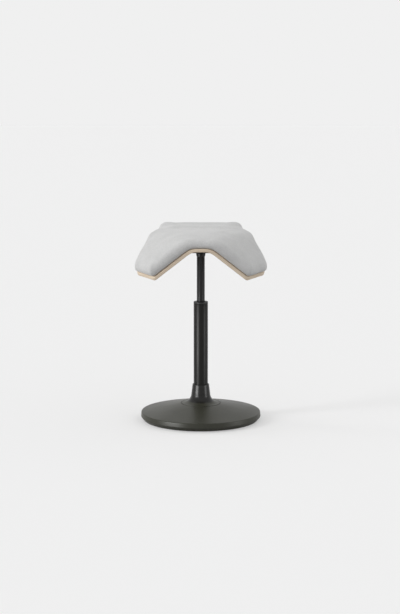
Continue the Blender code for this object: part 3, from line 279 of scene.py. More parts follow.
def hubMaterial():
    material = finishes["hub_gloss"]
    powder = solidFinishes["base_powder"]
    tree = material.node_tree
    shader = tree.nodes["Principled BSDF"]
    place = addNode(tree, "TexCoord", {}).outputs["Object"]
    flat = addNode(tree, "VectorMath", {0: place, 1: (1, 1, 0)}, operation="MULTIPLY").outputs["Vector"]
    distance = addNode(tree, "VectorMath", {0: flat}, operation="LENGTH").outputs["Value"]
    share = remap(tree, distance, 0.0, 1.0, hubFinish["bodyRadius"], hubFinish["flangeRadius"])
    colour = shader.inputs["Base Color"].links[0].from_socket
    tree.links.new(mixColour(tree, share, colour, powder["colour"]), shader.inputs["Base Color"])
    rough = shader.inputs["Roughness"].links[0].from_socket
    powdered = remap(tree, share, 0.0, sum(powder["roughness"]) / 2)
    kept = calc(tree, "MULTIPLY", rough, remap(tree, share, 1.0, 0.0))
    tree.links.new(calc(tree, "ADD", kept, powdered), shader.inputs["Roughness"])


hubMaterial()


# Weighted base

base = {
    "steps": 192, "stretch": 0.0060, "arcSteps": 10,
    "rimHeight": 0.0312, "rimWall": 0.0160, "rimRound": 0.0028, "rimLean": 0.0016,
    "bevelInset": 0.0105, "bevelRound": 0.0030, "lowerRound": 0.0010,
    "wall": 0.0025, "slantWall": 1.3, "kneeRise": 0.4, "innerRound": 0.0010, "coneRise": 0.0300,
    "seamWidth": 0.0009, "seamRound": 0.0022, "shelfRound": 0.0004, "hole": 0.0383,
    "flangeThickness": 0.0030, "flangeRound": 0.0007, "gap": 0.0003,
}
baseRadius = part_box("base_cover")[1].x
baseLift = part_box("base_cover")[0].z
flangeRadius = 0.0680
flangeTop = base["rimHeight"] + base["coneRise"]
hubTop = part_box("hub")[1].z


# height of the cover's conical top at a radius: it climbs evenly from the rim to the flange
def coneHeight(radius):
    return base["rimHeight"] + base["coneRise"] * (baseRadius - radius) / (baseRadius - flangeRadius)


# the cover's section runs from the shelf under the flange over the cone, down the rim and the bevel, and back along
# the inside of its wall; slantWall and kneeRise are shares of the wall where it slants
def makeBaseCover():
    wall, slant = base["wall"], base["wall"] * base["slantWall"]
    seam = flangeRadius + base["seamWidth"]
    shelf = flangeTop - base["flangeThickness"] - base["gap"]
    hole = base["hole"]
    wallFoot = base["rimHeight"] - base["rimWall"]
    inner = baseRadius - wall
    bevelFoot = baseRadius - base["bevelInset"]
    corners = [
        (hole, shelf), (seam, shelf, base["shelfRound"]), (seam, coneHeight(seam), base["seamRound"]),
        (baseRadius - base["rimLean"], base["rimHeight"], base["rimRound"]),
        (baseRadius, wallFoot, base["bevelRound"]),
        (bevelFoot, baseLift, base["lowerRound"]), (bevelFoot - slant, baseLift, base["lowerRound"]),
        (inner, wallFoot + wall * base["kneeRise"], base["innerRound"]),
        (inner, coneHeight(inner) - slant, base["innerRound"]),
        (seam + wall, coneHeight(seam + wall) - wall, base["innerRound"]),
        (seam + wall, shelf - wall), (hole, shelf - wall),
    ]
    profile = evenPath(softPath(corners, base["arcSteps"]), base["stretch"])
    mesh = turnedMesh("base_cover_skin", profile, base["steps"])
    addPiece("base_cover_skin", mesh, finishes["base_powder"], "base", ["base_cover"])


# the foot ring is a rubber strip with a rounded outer lip and two shallow grip grooves underneath
foot = {
    "steps": 160, "stretch": 0.0040, "arcSteps": 5, "width": 0.0380, "lip": 0.0014,
    "grooves": 2, "grooveWidth": 0.0040, "grooveFloor": 0.6, "grooveDepth": 0.0010, "grooveRound": 0.0004,
}


def makeFootRing():
    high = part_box("foot_ring")[1]
    outer = high.x
    inner = outer - foot["width"]
    half, deep, rounding = foot["grooveWidth"] / 2, foot["grooveDepth"], foot["grooveRound"]
    floor = half * foot["grooveFloor"]
    corners = [(inner, high.z), (outer, high.z, foot["lip"] / 2), (outer, 0.0, foot["lip"])]
    for i in range(foot["grooves"]):
        middle = outer - (outer - inner) * (i + 1) / (foot["grooves"] + 1)
        corners += [(middle + half, 0.0, rounding), (middle + floor, deep, rounding)]
        corners += [(middle - floor, deep, rounding), (middle - half, 0.0, rounding)]
    corners += [(inner, 0.0, foot["lip"])]
    profile = evenPath(softPath(corners, foot["arcSteps"]), foot["stretch"])
    mesh = turnedMesh("foot_ring_strip", profile, foot["steps"])
    addPiece("foot_ring_strip", mesh, finishes["rubber"], "base", ["foot_ring"])


# the hub's outline comes down from a rounded top, widens by its taper and flares out
# along a quarter ellipse into the flat flange
hub = {
    "steps": 144, "stretch": 0.0050, "flareSteps": 40, "arcSteps": 6,
    "topRadius": 0.0289, "taper": 0.0042, "flare": 0.0330, "topRound": 0.0016,
    "bore": 0.0253, "spigot": 0.0380, "underRound": 0.0003, "spigotRound": 0.0005,
}


def makeHub():
    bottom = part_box("hub")[0].z
    flangeFoot = flangeTop - base["flangeThickness"]
    flareRadius = hub["topRadius"] + hub["taper"]
    turn = np.linspace(0, np.pi / 2, hub["flareSteps"])
    sweep = np.stack([flareRadius + (flangeRadius - flareRadius) * (1 - np.cos(turn)),
                      flangeTop + hub["flare"] * (1 - np.sin(turn))], axis=1)
    rim = [(hub["bore"], hubTop), (hub["topRadius"], hubTop, hub["topRound"]), tuple(sweep[0])]
    top = softPath(rim, closed=False)
    edge = [tuple(sweep[-2]), (flangeRadius, flangeTop, base["flangeRound"]),
            (flangeRadius, flangeFoot, hub["underRound"]), (hub["spigot"], flangeFoot, hub["underRound"]),
            (hub["spigot"], bottom, hub["spigotRound"]), (hub["bore"], bottom)]
    profile = np.concatenate([top[:-1], sweep[:-2], softPath(edge, hub["arcSteps"], closed=False)])
    mesh = turnedMesh("hub_casting", evenPath(profile, hub["stretch"]), hub["steps"])
    addPiece("hub_casting", mesh, finishes["hub_gloss"], "base", ["hub"])


makeBaseCover()
makeFootRing()
makeHub()
print("base: cover, foot ring, hub")


# Column

column = {"steps": 96, "stretch": 0.0120}

tube = {
    "wall": 0.0020, "edge": 0.0014, "innerRound": 0.0004, "footTaper": 0.0012, "footRound": 0.0008,
    "floor": 0.0030, "rodHole": 0.0056,
}


# the tube tapers a little inside the hub and has a floor that the rod passes through
def makeTube():
    low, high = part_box("column_tube")
    radius = high.x
    inner = radius - tube["wall"]
    hole, taper, floor = tube["rodHole"], tube["footTaper"], low.z + tube["floor"]
    corners = [(inner, high.z, tube["innerRound"]), (radius, high.z, tube["edge"]), (radius, hubTop),
               (radius - taper, low.z, tube["footRound"]), (hole, low.z), (hole, floor), (inner - taper, floor),
               (inner, hubTop)]
    mesh = turnedMesh("column_tube_skin", evenPath(softPath(corners), column["stretch"]), column["steps"])
    addPiece("column_tube_skin", mesh, finishes["black_steel"], "base", ["column_tube"])


bush = {"stretch": 0.0060, "edge": 0.0012, "boreRound": 0.0010, "shelfRound": 0.0004, "footRound": 0.0005}


# the bush hangs by its collar on the tube, with its sleeve inside
def makeBush():
    low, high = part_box("guide_bush")
    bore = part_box("gas_cylinder")[1].x + base["gap"]
    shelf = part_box("column_tube")[1].z + base["gap"]
    outer = high.x
    sleeve = outer - tube["wall"] - base["gap"]
    corners = [(bore, high.z, bush["boreRound"]), (outer, high.z, bush["edge"]), (outer, shelf, bush["shelfRound"]),
               (sleeve, shelf), (sleeve, low.z, bush["footRound"]), (bore, low.z, bush["footRound"])]
    mesh = turnedMesh("guide_bush_collar", evenPath(softPath(corners), bush["stretch"]), column["steps"])
    addPiece("guide_bush_collar", mesh, finishes["black_plastic"], "base", ["guide_bush"])


cylinder = {
    "hole": 0.0085, "wall": 0.0018, "lid": 0.0020,
    "topTaper": 0.0007, "topRound": 0.0006, "footRound": 0.0012,
}


# the cylinder tapers a little inside its socket and has a lid with a hole at both ends
def makeCylinder():
    low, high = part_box("gas_cylinder")
    radius, hole = high.x, cylinder["hole"]
    inner, lid = radius - cylinder["wall"], cylinder["lid"]
    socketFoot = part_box("taper_socket")[0].z
    corners = [(hole, high.z), (radius - cylinder["topTaper"], high.z, cylinder["topRound"]), (radius, socketFoot),
               (radius, low.z, cylinder["footRound"]), (hole, low.z), (hole, low.z + lid), (inner, low.z + lid),
               (inner, high.z - lid), (hole, high.z - lid)]
    mesh = turnedMesh("gas_cylinder_skin", evenPath(softPath(corners), column["stretch"]), column["steps"])
    addPiece("gas_cylinder_skin", mesh, finishes["black_cylinder"], "seat", ["gas_cylinder"])


taperSocket = {
    "stretch": 0.0030, "neck": 0.0020, "neckRound": 0.0040, "topRound": 0.0006,
    "footTaper": 0.0015, "footRound": 0.0004, "boreTaper": 0.0006,
}


# the socket narrows under the seat plate, and its bore follows the cylinder's taper
def makeSocket():
    low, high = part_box("taper_socket")
    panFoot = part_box("seat_plate")[0].z
    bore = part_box("gas_cylinder")[1].x + base["gap"]
    neck = panFoot - taperSocket["neck"]
    corners = [(bore - taperSocket["boreTaper"], high.z), (high.x, high.z, taperSocket["topRound"]),
               (high.x, neck, taperSocket["neckRound"]),
               (high.x - taperSocket["footTaper"], low.z, taperSocket["footRound"]), (bore, low.z)]
    mesh = turnedMesh("taper_socket_skin", evenPath(softPath(corners), taperSocket["stretch"]), column["steps"])
    addPiece("taper_socket_skin", mesh, finishes["black_steel"], "seat", ["taper_socket"])


makeTube()
makeBush()
makeCylinder()
makeSocket()
print("column: tube, bush, cylinder, socket")


# Folded seat

seat = {
    "front": 0.1650, "rear": 0.1900, "noseRadius": 0.3500,
    "crownHalfWidth": 0.0310, "spread": math.radians(33), "fold": math.radians(45), "bendRadius": 0.0380,
    "cantleLift": 0.0287, "cantleLength": 0.1350,
    "frontCorner": (0.1600, -0.1505, 0.0120), "sideCorner": (0.2260, -0.0400, 0.0340),
    "shoulder": (0.1670, 0.1040, 0.1000), "rearCorner": (0.1460, 0.1900), "rearRadius": 0.0360,
    "arcSteps": 32,
}
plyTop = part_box("tee_nut_1")[1].z
bendHalfWidth = seat["bendRadius"] * math.tan(seat["fold"] / 2)


# how far the seat falls past its bends, and how steeply: past is the distance beyond the bend line, measured
# square to it; the fall grows with its square over the width of the bend and evenly after that
def foldFall(x, y):
    line = seat["crownHalfWidth"] + (y + seat["front"]) * math.tan(seat["spread"])
    past = (np.abs(x) - line) * math.cos(seat["spread"])
    steep = math.tan(seat["fold"])
    into = np.clip(past + bendHalfWidth, 0, 2 * bendHalfWidth)
    fall = steep * into ** 2 / (4 * bendHalfWidth) + steep * np.maximum(0, past - bendHalfWidth)
    return fall, steep * into / (2 * bendHalfWidth)


# rise of the rear edge: the square of the share of the way along the cantle
def cantleRise(y):
    share = np.maximum(0, (y - seat["rear"] + seat["cantleLength"]) / seat["cantleLength"])
    return seat["cantleLift"] * share ** 2, 2 * seat["cantleLift"] * share / seat["cantleLength"]


def sheetHeight(x, y):
    return plyTop + cantleRise(y)[0] - foldFall(x, y)[0]


def sheetNormal(x, y):
    steep = foldFall(x, y)[1]
    side = np.sign(x) * steep * math.cos(seat["spread"])
    normal = np.stack([side, -steep * math.sin(seat["spread"]) - cantleRise(y)[1], np.ones_like(side)], axis=-1)
    return normal / np.linalg.norm(normal, axis=-1, keepdims=True)


# the seat's edge in plan, with even spacing all round and starting at the nose
def seatOutline(count, rearRadius):
    rearCorner = (*seat["rearCorner"], rearRadius)
    right = [seat["frontCorner"], seat["sideCorner"], seat["shoulder"], rearCorner]
    left = [(-x, y, radius) for x, y, radius in reversed(right)]
    path = softPath([(0.0, -seat["front"], seat["noseRadius"]), *right, *left], seat["arcSteps"])
    loop = np.concatenate([path, path[:1]])
    along = np.concatenate([[0], np.cumsum(np.linalg.norm(np.diff(loop, axis=0), axis=1))])
    wanted = np.linspace(0, along[-1], count, endpoint=False)
    return np.stack([np.interp(wanted, along, loop[:, 0]), np.interp(wanted, along, loop[:, 1])], axis=1)


# the edge moved in towards the column, by a distance measured square to the edge; the way along the ray is
# distance / (outward . ray), at most twice the distance
def inwardEdge(edge, distance):
    along = np.roll(edge, -1, axis=0) - np.roll(edge, 1, axis=0)
    out = np.stack([along[:, 1], -along[:, 0]], axis=1)
    out /= np.linalg.norm(out, axis=1, keepdims=True)
    ray = edge / np.linalg.norm(edge, axis=1, keepdims=True)
    return edge - ray * (distance / np.maximum(0.5, (out * ray).sum(1)))[:, None]


plywood = {
    "thickness": 0.0112, "lean": 0.5, "leanPower": 6, "edgeRound": 0.0030, "edgeSteps": 18,
    "around": 560, "faceRings": 44, "ringPower": 0.85,
}


# the plywood runs from its middle out over the upper face, round the rounded edge and back under to its middle;
# a point at a depth lies below its place on the upper face, square to the sheet in the middle and along the lean of
# the cut edge at the outline, halfway between upright and square: place - way * depth / (way . square);
# layer is the share of the thickness passed, and edge tells the cut edge from the two faces
def makePlywood():
    outline = seatOutline(plywood["around"], seat["rearRadius"])
    rounding, thickness = plywood["edgeRound"], plywood["thickness"]
    depth = (1 - np.cos(np.linspace(0, np.pi, plywood["edgeSteps"]))) / 2
    toFace = np.minimum(depth, 1 - depth) * thickness
    inset = rounding - np.sqrt(np.maximum(0, rounding ** 2 - np.maximum(0, rounding - toFace) ** 2))
    share = np.linspace(0, 1, plywood["faceRings"]) ** plywood["ringPower"]
    faceRings = share[:, None, None] * inwardEdge(outline, rounding)
    edgeRings = np.stack([inwardEdge(outline, step) for step in inset[1:-1]])
    plan = np.concatenate([faceRings, edgeRings, faceRings[::-1]])
    through = np.concatenate([np.zeros(len(share)), depth[1:-1], np.ones(len(share))])[:, None]
    leaning = share ** plywood["leanPower"]
    outward = np.concatenate([leaning, np.ones(len(edgeRings)), leaning[::-1]])[:, None, None]
    x, y = plan[..., 0], plan[..., 1]
    square = sheetNormal(x, y)
    way = square + (np.array([0.0, 0.0, 1.0]) - square) * (1 - plywood["lean"]) * outward
    drop = through * thickness / (way * square).sum(-1)
    points = np.stack([x, y, sheetHeight(x, y)], axis=-1) - way * drop[..., None]
    layer = np.broadcast_to(through, x.shape)
    onEdge = np.broadcast_to(((through > 0) & (through < 1)).astype(float), x.shape)
    attributes = {"layer": layer, "edge": onEdge}
    mesh = makeMesh("plywood_shell", points, gridFaces(len(plan), plywood["around"]), attributes)
    addPiece("plywood_shell", mesh, plywoodFinish(), "seat", ["seat_shell"])


veneer = {
    "pale": (0.78, 0.66, 0.52), "warm": (0.72, 0.59, 0.45), "cross": (0.65, 0.52, 0.38), "glue": (0.46, 0.34, 0.23),
    "layers": 8, "glueShare": 0.55, "glueWidth": 0.08, "roughness": (0.46, 0.60), "specular": 0.25,
    "grainScale": 60.0, "grainStretch": (1.0, 0.045, 1.0), "poreScale": 900.0, "poreStretch": (1.0, 0.03, 1.0),
    "bump": 0.18, "depth": 0.0002,
}


# birch veneers: long grain drawn out along Y on the faces; on the cut edge every second layer shows
# its end grain a little darker, with thin glue lines between the layers
def plywoodFinish():
    material, tree, shader, place = newFinish("pale_plywood", {"Specular IOR Level": veneer["specular"]})
    long = grain(tree, place, veneer["grainScale"], veneer["grainStretch"], detail=6.0)
    fibre = grain(tree, place, veneer["poreScale"], veneer["poreStretch"], detail=2.0)
    face = mixColour(tree, remap(tree, long, 0.0, 1.0, 0.35, 0.70), veneer["pale"], veneer["warm"])
    face = mixColour(tree, remap(tree, fibre, 0.0, 0.35, 0.55, 0.80), face, veneer["cross"])
    layer = addNode(tree, "Attribute", {}, attribute_name="layer").outputs["Fac"]
    onEdge = addNode(tree, "Attribute", {}, attribute_name="edge").outputs["Fac"]
    counted = calc(tree, "MULTIPLY", layer, float(veneer["layers"]))
    wave = calc(tree, "PINGPONG", counted, 2.0)
    turnedLayer = calc(tree, "GREATER_THAN", wave, 1.0)
    within = calc(tree, "FRACT", counted, 1.0)
    toJoint = calc(tree, "PINGPONG", within, 0.5)
    glue = remap(tree, toJoint, veneer["glueShare"], 0.0, 0.0, veneer["glueWidth"])
    endGrain = mixColour(tree, remap(tree, fibre, 0.0, 0.5, 0.4, 0.8), veneer["warm"], veneer["cross"])
    stripes = mixColour(tree, turnedLayer, veneer["pale"], endGrain)
    stripes = mixColour(tree, glue, stripes, veneer["glue"])
    tree.links.new(mixColour(tree, onEdge, face, stripes), shader.inputs["Base Color"])
    tree.links.new(remap(tree, long, *veneer["roughness"], 0.3, 0.7), shader.inputs["Roughness"])
    tree.links.new(bumpFrom(tree, fibre, veneer["bump"], veneer["depth"]), shader.inputs["Normal"])
    return material


makePlywood()
print("plywood: folded shell")


# Padding

pad = {
    "tuck": 0.0060, "slot": 0.0014, "slotDepth": 0.0120, "lift": 0.0006,
    "side": 0.0090, "frontSide": 0.0120, "round": 0.0170, "rearCorner": 0.0330,
    "waist": 0.0084, "waistPlace": 0.0380, "waistLength": 0.0280,
    "valleyFill": 0.0045, "valleyPlace": 0.0920, "valleyLength": 0.0320,
    "nose": 0.0290, "wingNose": 0.0100, "rear": 0.0395, "wingThinning": 0.11, "fullFront": 0.1200,
    "crown": 0.0060, "slack": 0.0002,
    "around": 420, "sideSteps": 10, "roundSteps": 16, "topRings": 40, "underRings": 28,
    "voxel": 0.0043, "pressure": 4.0, "clothQuality": 6, "frames": 20, "cap": 0.0050, "share": 0.35,
    "sewnBelow": 0.0040, "smooth": 4, "smoothAbove": 0.0060, "fill": 0.85,
}


# a bell curve along the seat: e to the power of minus the square of (distance from the place / length)
def bellCurve(y, place, length):
    return np.exp(-((y - place) / length) ** 2)


# height of the pad above the plywood where its rounded edge ends: it grows from the nose to the rear,
# and where the seat is folded it loses a share at the rear and gains a fixed height at the front;
# a bell curve along the seat fills the valley before the raised rear
def padHeight(x, y):
    fromNose = y + seat["front"]
    along = fromNose / (seat["front"] + seat["rear"])
    folded = foldFall(x, y)[1] / math.tan(seat["fold"])
    behind = np.clip(fromNose / pad["fullFront"], 0, 1)
    middle = pad["nose"] + (pad["rear"] - pad["nose"]) * along
    valley = pad["valleyFill"] * bellCurve(y, pad["valleyPlace"], pad["valleyLength"])
    wings = pad["wingNose"] * folded * (1 - behind)
    return middle * (1 - pad["wingThinning"] * folded * behind) + wings + valley


# the edge that faces the front has a taller side than the rest, and a roll as wide as it is high:
# the share of these grows with the square of how squarely the edge faces the front
def frontShare(outline):
    along = np.roll(outline, -1, axis=0) - np.roll(outline, 1, axis=0)
    return np.clip(along[:, 0] / np.linalg.norm(along, axis=1), 0, 1) ** 2


# the pad's rings climb from the lower edge to its widest line along a quarter of an ellipse, roll over to the top
# along another, cross the crowned top to the middle and come back underneath, along the plywood; under the edge
# a narrow slot stays open to the plywood; by a bell curve the outline stands back at the waist
def padMesh():
    outline = seatOutline(pad["around"], pad["rearCorner"])
    front = frontShare(outline)
    side = pad["side"] + (pad["frontSide"] - pad["side"]) * front
    frontRoll = padHeight(outline[:, 0], outline[:, 1]) - side
    width = pad["round"] + (frontRoll - pad["round"]) * front
    slack = pad["slack"]
    setback = slack + pad["waist"] * bellCurve(outline[:, 1], pad["waistPlace"], pad["waistLength"])
    rings, heights = [], []
    for turn in np.linspace(0, np.pi / 2, pad["sideSteps"]):
        rings.append(inwardEdge(outline, setback + pad["tuck"] * (1 - math.sin(turn))))
        heights.append(pad["slot"] + (side - pad["slot"]) * (1 - math.cos(turn)))
    for turn in np.linspace(0, np.pi / 2, pad["roundSteps"])[1:]:
        plan = inwardEdge(outline, setback + width * (1 - math.cos(turn)))
        top = padHeight(plan[:, 0], plan[:, 1]) - slack
        rings.append(plan)
        heights.append(side + math.sin(turn) * (top - side))
    edge = rings[-1]
    for share in np.linspace(1, 0, pad["topRings"])[1:]:
        plan = edge * share
        rings.append(plan)
        heights.append(padHeight(plan[:, 0], plan[:, 1]) - slack + pad["crown"] * (1 - share ** 2))
    under = inwardEdge(outline, setback + pad["slotDepth"])
    for share in np.linspace(0, 1, pad["underRings"]):
        rings.append(under * share)
        heights.append(np.full(pad["around"], pad["lift"]))
    plan, up = np.stack(rings), np.stack(heights)
    x, y = plan[..., 0], plan[..., 1]
    points = np.stack([x, y, sheetHeight(x, y)], axis=-1) + sheetNormal(x, y) * up[..., None]
    return makeMesh("seat_pad", points, gridFaces(len(plan), pad["around"], closeRows=True))


def readPoints(mesh):
    points = np.empty(len(mesh.vertices) * 3, np.float32)
    mesh.vertices.foreach_get("co", points)
    return points.reshape(-1, 3).astype(float)


def aboveSheet(points):
    return points[:, 2] - sheetHeight(points[:, 0], points[:, 1])


# each point moves halfway to the mean of its neighbours, where the mask allows it
def smoothed(points, edges, mask, rounds):
    for _ in range(rounds):
        total = np.zeros_like(points)
        count = np.zeros(len(points))
        np.add.at(total, edges[:, 0], points[edges[:, 1]])
        np.add.at(total, edges[:, 1], points[edges[:, 0]])
        np.add.at(count, edges.ravel(), 1)
        points = points + 0.5 * mask[:, None] * (total / count[:, None] - points)
    return points


# the pad's cover is blown up a little against its sewn underside, like cloth over foam; a point moves by a share
# of its swelling, and at most by the cap, so that the outline stays
def inflate(padObject):
    scene = bpy.context.scene
    mesh = padObject.data
    start = readPoints(mesh)
    held = padObject.vertex_groups.new(name="sewn")
    held.add(np.flatnonzero(aboveSheet(start) < pad["sewnBelow"]).tolist(), 1.0, "REPLACE")
    cloth = padObject.modifiers.new("Cloth", "CLOTH")
    cloth.settings.use_pressure = True
    cloth.settings.uniform_pressure_force = pad["pressure"]
    cloth.settings.vertex_group_mass = "sewn"
    cloth.settings.quality = pad["clothQuality"]
    cloth.settings.effector_weights.gravity = 0.0
    cloth.point_cache.frame_end = pad["frames"]
    for step in range(1, pad["frames"] + 1):
        scene.frame_set(step)
    graph = bpy.context.evaluated_depsgraph_get()
    swollen = readPoints(padObject.evaluated_get(graph).data)
    padObject.modifiers.remove(cloth)
    padObject.vertex_groups.clear()
    scene.frame_set(1)
    move = (swollen - start) * pad["share"]
    length = np.linalg.norm(move, axis=1)
    print("pad: swelled by up to", round(float(length.max()) * 1000, 1), "mm")
    move *= (np.minimum(length, pad["cap"]) / np.maximum(length, 1e-9))[:, None]
    mesh.vertices.foreach_set("co", (start + move).astype(np.float32).ravel())
    mesh.update()


def makePad():
    rough = bpy.data.objects.new("seat_pad_rough", padMesh())
    bpy.context.scene.collection.objects.link(rough)
    remesh = rough.modifiers.new("Remesh", "REMESH")
    remesh.mode = "VOXEL"
    remesh.voxel_size = pad["voxel"]
    graph = bpy.context.evaluated_depsgraph_get()
    mesh = bpy.data.meshes.new_from_object(rough.evaluated_get(graph))
    mesh.name = "seat_pad"
    bpy.data.objects.remove(rough)
    padObject = bpy.data.objects.new("seat_pad", mesh)
    bpy.context.scene.collection.objects.link(padObject)
    inflate(padObject)
    edges = np.empty(len(mesh.edges) * 2, np.int32)
    mesh.edges.foreach_get("vertices", edges)
    points = readPoints(mesh)
    mask = np.clip(aboveSheet(points) / pad["smoothAbove"], 0.0, 1.0)
    points = smoothed(points, edges.reshape(-1, 2), mask, pad["smooth"])
    mesh.vertices.foreach_set("co", points.astype(np.float32).ravel())
    mesh.update()
    mesh.shade_smooth()
    finer = padObject.modifiers.new("Subdivision", "SUBSURF")
    finer.levels = 1
    finer.render_levels = 1
    mesh.materials.append(feltFinish())
    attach(padObject, "seat")
    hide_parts("pad_cover", "pad_foam")
    print("pad:", len(mesh.polygons), "faces before subdivision")


felt = {
    "pale": (0.645, 0.645, 0.64), "mid": (0.60, 0.60, 0.595), "dark": (0.43, 0.43, 0.43),
    "mottle": 28.0, "tuft": 240.0, "fibre": 1500.0, "bump": 0.35, "depth": 0.0006,
    "strands": ((1.0, 0.12, 0.4), (0.12, 1.0, 0.4), (0.5, 0.5, 0.15)),
}


# wool felt: a soft mottle, small tufts and fine fibres that run in three directions, over a light sheen
def feltFinish():
    shine = {"Specular IOR Level": 0.2, "Sheen Weight": 0.25, "Sheen Roughness": 0.5, "Roughness": 0.95}
    material, tree, shader, place = newFinish("grey_felt", shine)
    mottle = grain(tree, place, felt["mottle"], detail=5.0)
    tuft = grain(tree, place, felt["tuft"], detail=4.0)
    strands = [grain(tree, place, felt["fibre"], stretch, detail=2.0) for stretch in felt["strands"]]
    crossed = calc(tree, "MAXIMUM", strands[0], strands[1])
    crossed = calc(tree, "MAXIMUM", crossed, strands[2])
    colour = mixColour(tree, remap(tree, mottle, 0.0, 1.0, 0.35, 0.65), felt["pale"], felt["mid"])
    colour = mixColour(tree, remap(tree, tuft, 0.0, 0.45, 0.45, 0.75), colour, felt["dark"])
    colour = mixColour(tree, remap(tree, crossed, 0.30, 0.0, 0.50, 0.70), colour, felt["dark"])
    height = calc(tree, "ADD", tuft, crossed)
    tree.links.new(colour, shader.inputs["Base Color"])
    tree.links.new(bumpFrom(tree, height, felt["bump"], felt["depth"]), shader.inputs["Normal"])
    return material


makePad()


# Lever

lever = {
    "bend": 0.0200, "run": 0.0420, "tail": 0.1220, "drop": math.radians(42), "overlap": 0.0060, "pivot": 0.0400,
    "radius": 0.0035, "sides": 40, "bendSteps": 16, "stretch": 0.0040, "endRadii": (0.0, 0.6, 0.9, 1.0),
}
leverHeight = next(joint["pos_m"][2] for joint in frame["joints"] if joint["name"] == "lever_pull")


# the rod follows a straight run, an arc and a straight tail in the XZ plane; each ring is a circle square to the
# path, and the rings at both ends are smaller by the shares in endRadii
def makeLever():
    start = (lever["overlap"], leverHeight)
    corner = (-lever["pivot"] - lever["run"], leverHeight)
    tip = (corner[0] - lever["tail"] * math.cos(lever["drop"]), leverHeight - lever["tail"] * math.sin(lever["drop"]))
    bent = softPath([start, (*corner, lever["bend"]), tip], lever["bendSteps"], closed=False)
    path = evenPath(bent, lever["stretch"], closed=False)
    along = np.gradient(path, axis=0)
    along /= np.linalg.norm(along, axis=1, keepdims=True)
    angle = np.linspace(0, 2 * np.pi, lever["sides"], endpoint=False)
    ends = np.array(lever["endRadii"])
    radius = np.concatenate([ends, np.ones(len(path) - 2 * len(ends)), ends[::-1]]) * lever["radius"]
    across, up = radius[:, None] * np.cos(angle), radius[:, None] * np.sin(angle)
    points = np.stack([path[:, 0, None] - along[:, 1, None] * up,
                       across,
                       path[:, 1, None] + along[:, 0, None] * up], axis=-1)
    mesh = makeMesh("lever_rod", points, gridFaces(len(path), lever["sides"]))
    addPiece("lever_rod", mesh, finishes["black_steel"], "lever", ["lever_arm"])
    return tip


grip = {
    "length": 0.0620, "width": 0.0260, "thickness": 0.0110, "tip": 0.0060, "around": 72, "along": 56,
    "endShare": 0.10, "neck": 0.72, "belly": 0.28, "bellyStart": 0.05, "bellyRate": 0.75, "bellyPower": 1.2,
    "dent": 0.22, "dentPlace": 0.55, "sidePower": 0.7, "facePower": 0.8,
}


# the grip is a run of superellipse sections along the tail, with a wider belly, thinner in a dent for the fingers
# and closed by rounded ends
def makeGrip(tip):
    along = np.linspace(0, 1, grip["along"])
    angle = np.linspace(0, 2 * np.pi, grip["around"], endpoint=False)
    ends = np.minimum(1, np.minimum(along, 1 - along) / grip["endShare"])
    closing = np.sqrt(np.maximum(0, 1 - (1 - ends) ** 2))
    belly = np.sin(np.pi * np.clip(along * grip["bellyRate"] + grip["bellyStart"], 0, 1)) ** grip["bellyPower"]
    dent = np.cos(np.pi * (along - grip["dentPlace"])) ** 2
    width = grip["width"] / 2 * closing * (grip["neck"] + grip["belly"] * belly)
    thick = grip["thickness"] / 2 * closing * (1 - grip["dent"] * dent)
    cos, sin = np.cos(angle), np.sin(angle)
    side = np.sign(cos) * np.abs(cos) ** grip["sidePower"]
    face = np.sign(sin) * np.abs(sin) ** grip["facePower"]
    out = grip["tip"] - grip["length"] * (1 - along)
    direction = np.array([-math.cos(lever["drop"]), -math.sin(lever["drop"])])
    normal = np.array([-direction[1], direction[0]])
    x = tip[0] + out[:, None] * direction[0] + thick[:, None] * face * normal[0]
    z = tip[1] + out[:, None] * direction[1] + thick[:, None] * face * normal[1]
    y = width[:, None] * side
    points = np.stack(np.broadcast_arrays(x, y, z), axis=-1)
    mesh = makeMesh("lever_paddle", points, gridFaces(len(along), grip["around"]))
    addPiece("lever_paddle", mesh, finishes["black_plastic"], "lever", ["lever_grip"])


makeGrip(makeLever())
print("lever: rod and paddle")


# Studio

studio = {
    "pale": 0.871, "floorSize": 40.0, "floorColour": 0.920, "bounce": 0.42, "evenFloor": 0.40,
    "keyStrength": 1.98, "keyAngle": math.radians(13), "keyHeights": (5, 12, 20, 30),
    "keyPlans": ((-0.95, 0.30), (-0.95, 0.30), (-0.92, -0.38), (-0.92, -0.38)),
    "horizon": 0.69, "zenith": 0.62, "rightFill": 0.40,
}


# the sky lights the object evenly, with a fill that grows towards the right; camera, mirror and glass rays
# see the pale backdrop
def makeWorld():
    world = bpy.data.worlds.new("studio")
    bpy.context.scene.world = world
    world.use_nodes = True
    tree = world.node_tree
    backdrop = tree.nodes["Background"]
    way = addNode(tree, "SeparateXYZ", {0: addNode(tree, "TexCoord", {}).outputs["Generated"]}).outputs
    sky = remap(tree, way["Z"], studio["horizon"], studio["zenith"])
    fill = remap(tree, way["X"], 0.0, studio["rightFill"])
    light = calc(tree, "ADD", sky, fill)
    path = addNode(tree, "LightPath", {}).outputs
    seen = calc(tree, "MAXIMUM", path["Is Camera Ray"], path["Is Transmission Ray"])
    seen = calc(tree, "MAXIMUM", seen, path["Is Glossy Ray"])
    pale = calc(tree, "MULTIPLY", seen, studio["pale"])
    rest = calc(tree, "SUBTRACT", 1.0, seen)
    dim = calc(tree, "MULTIPLY", light, rest)
    tree.links.new(calc(tree, "ADD", pale, dim), backdrop.inputs["Color"])


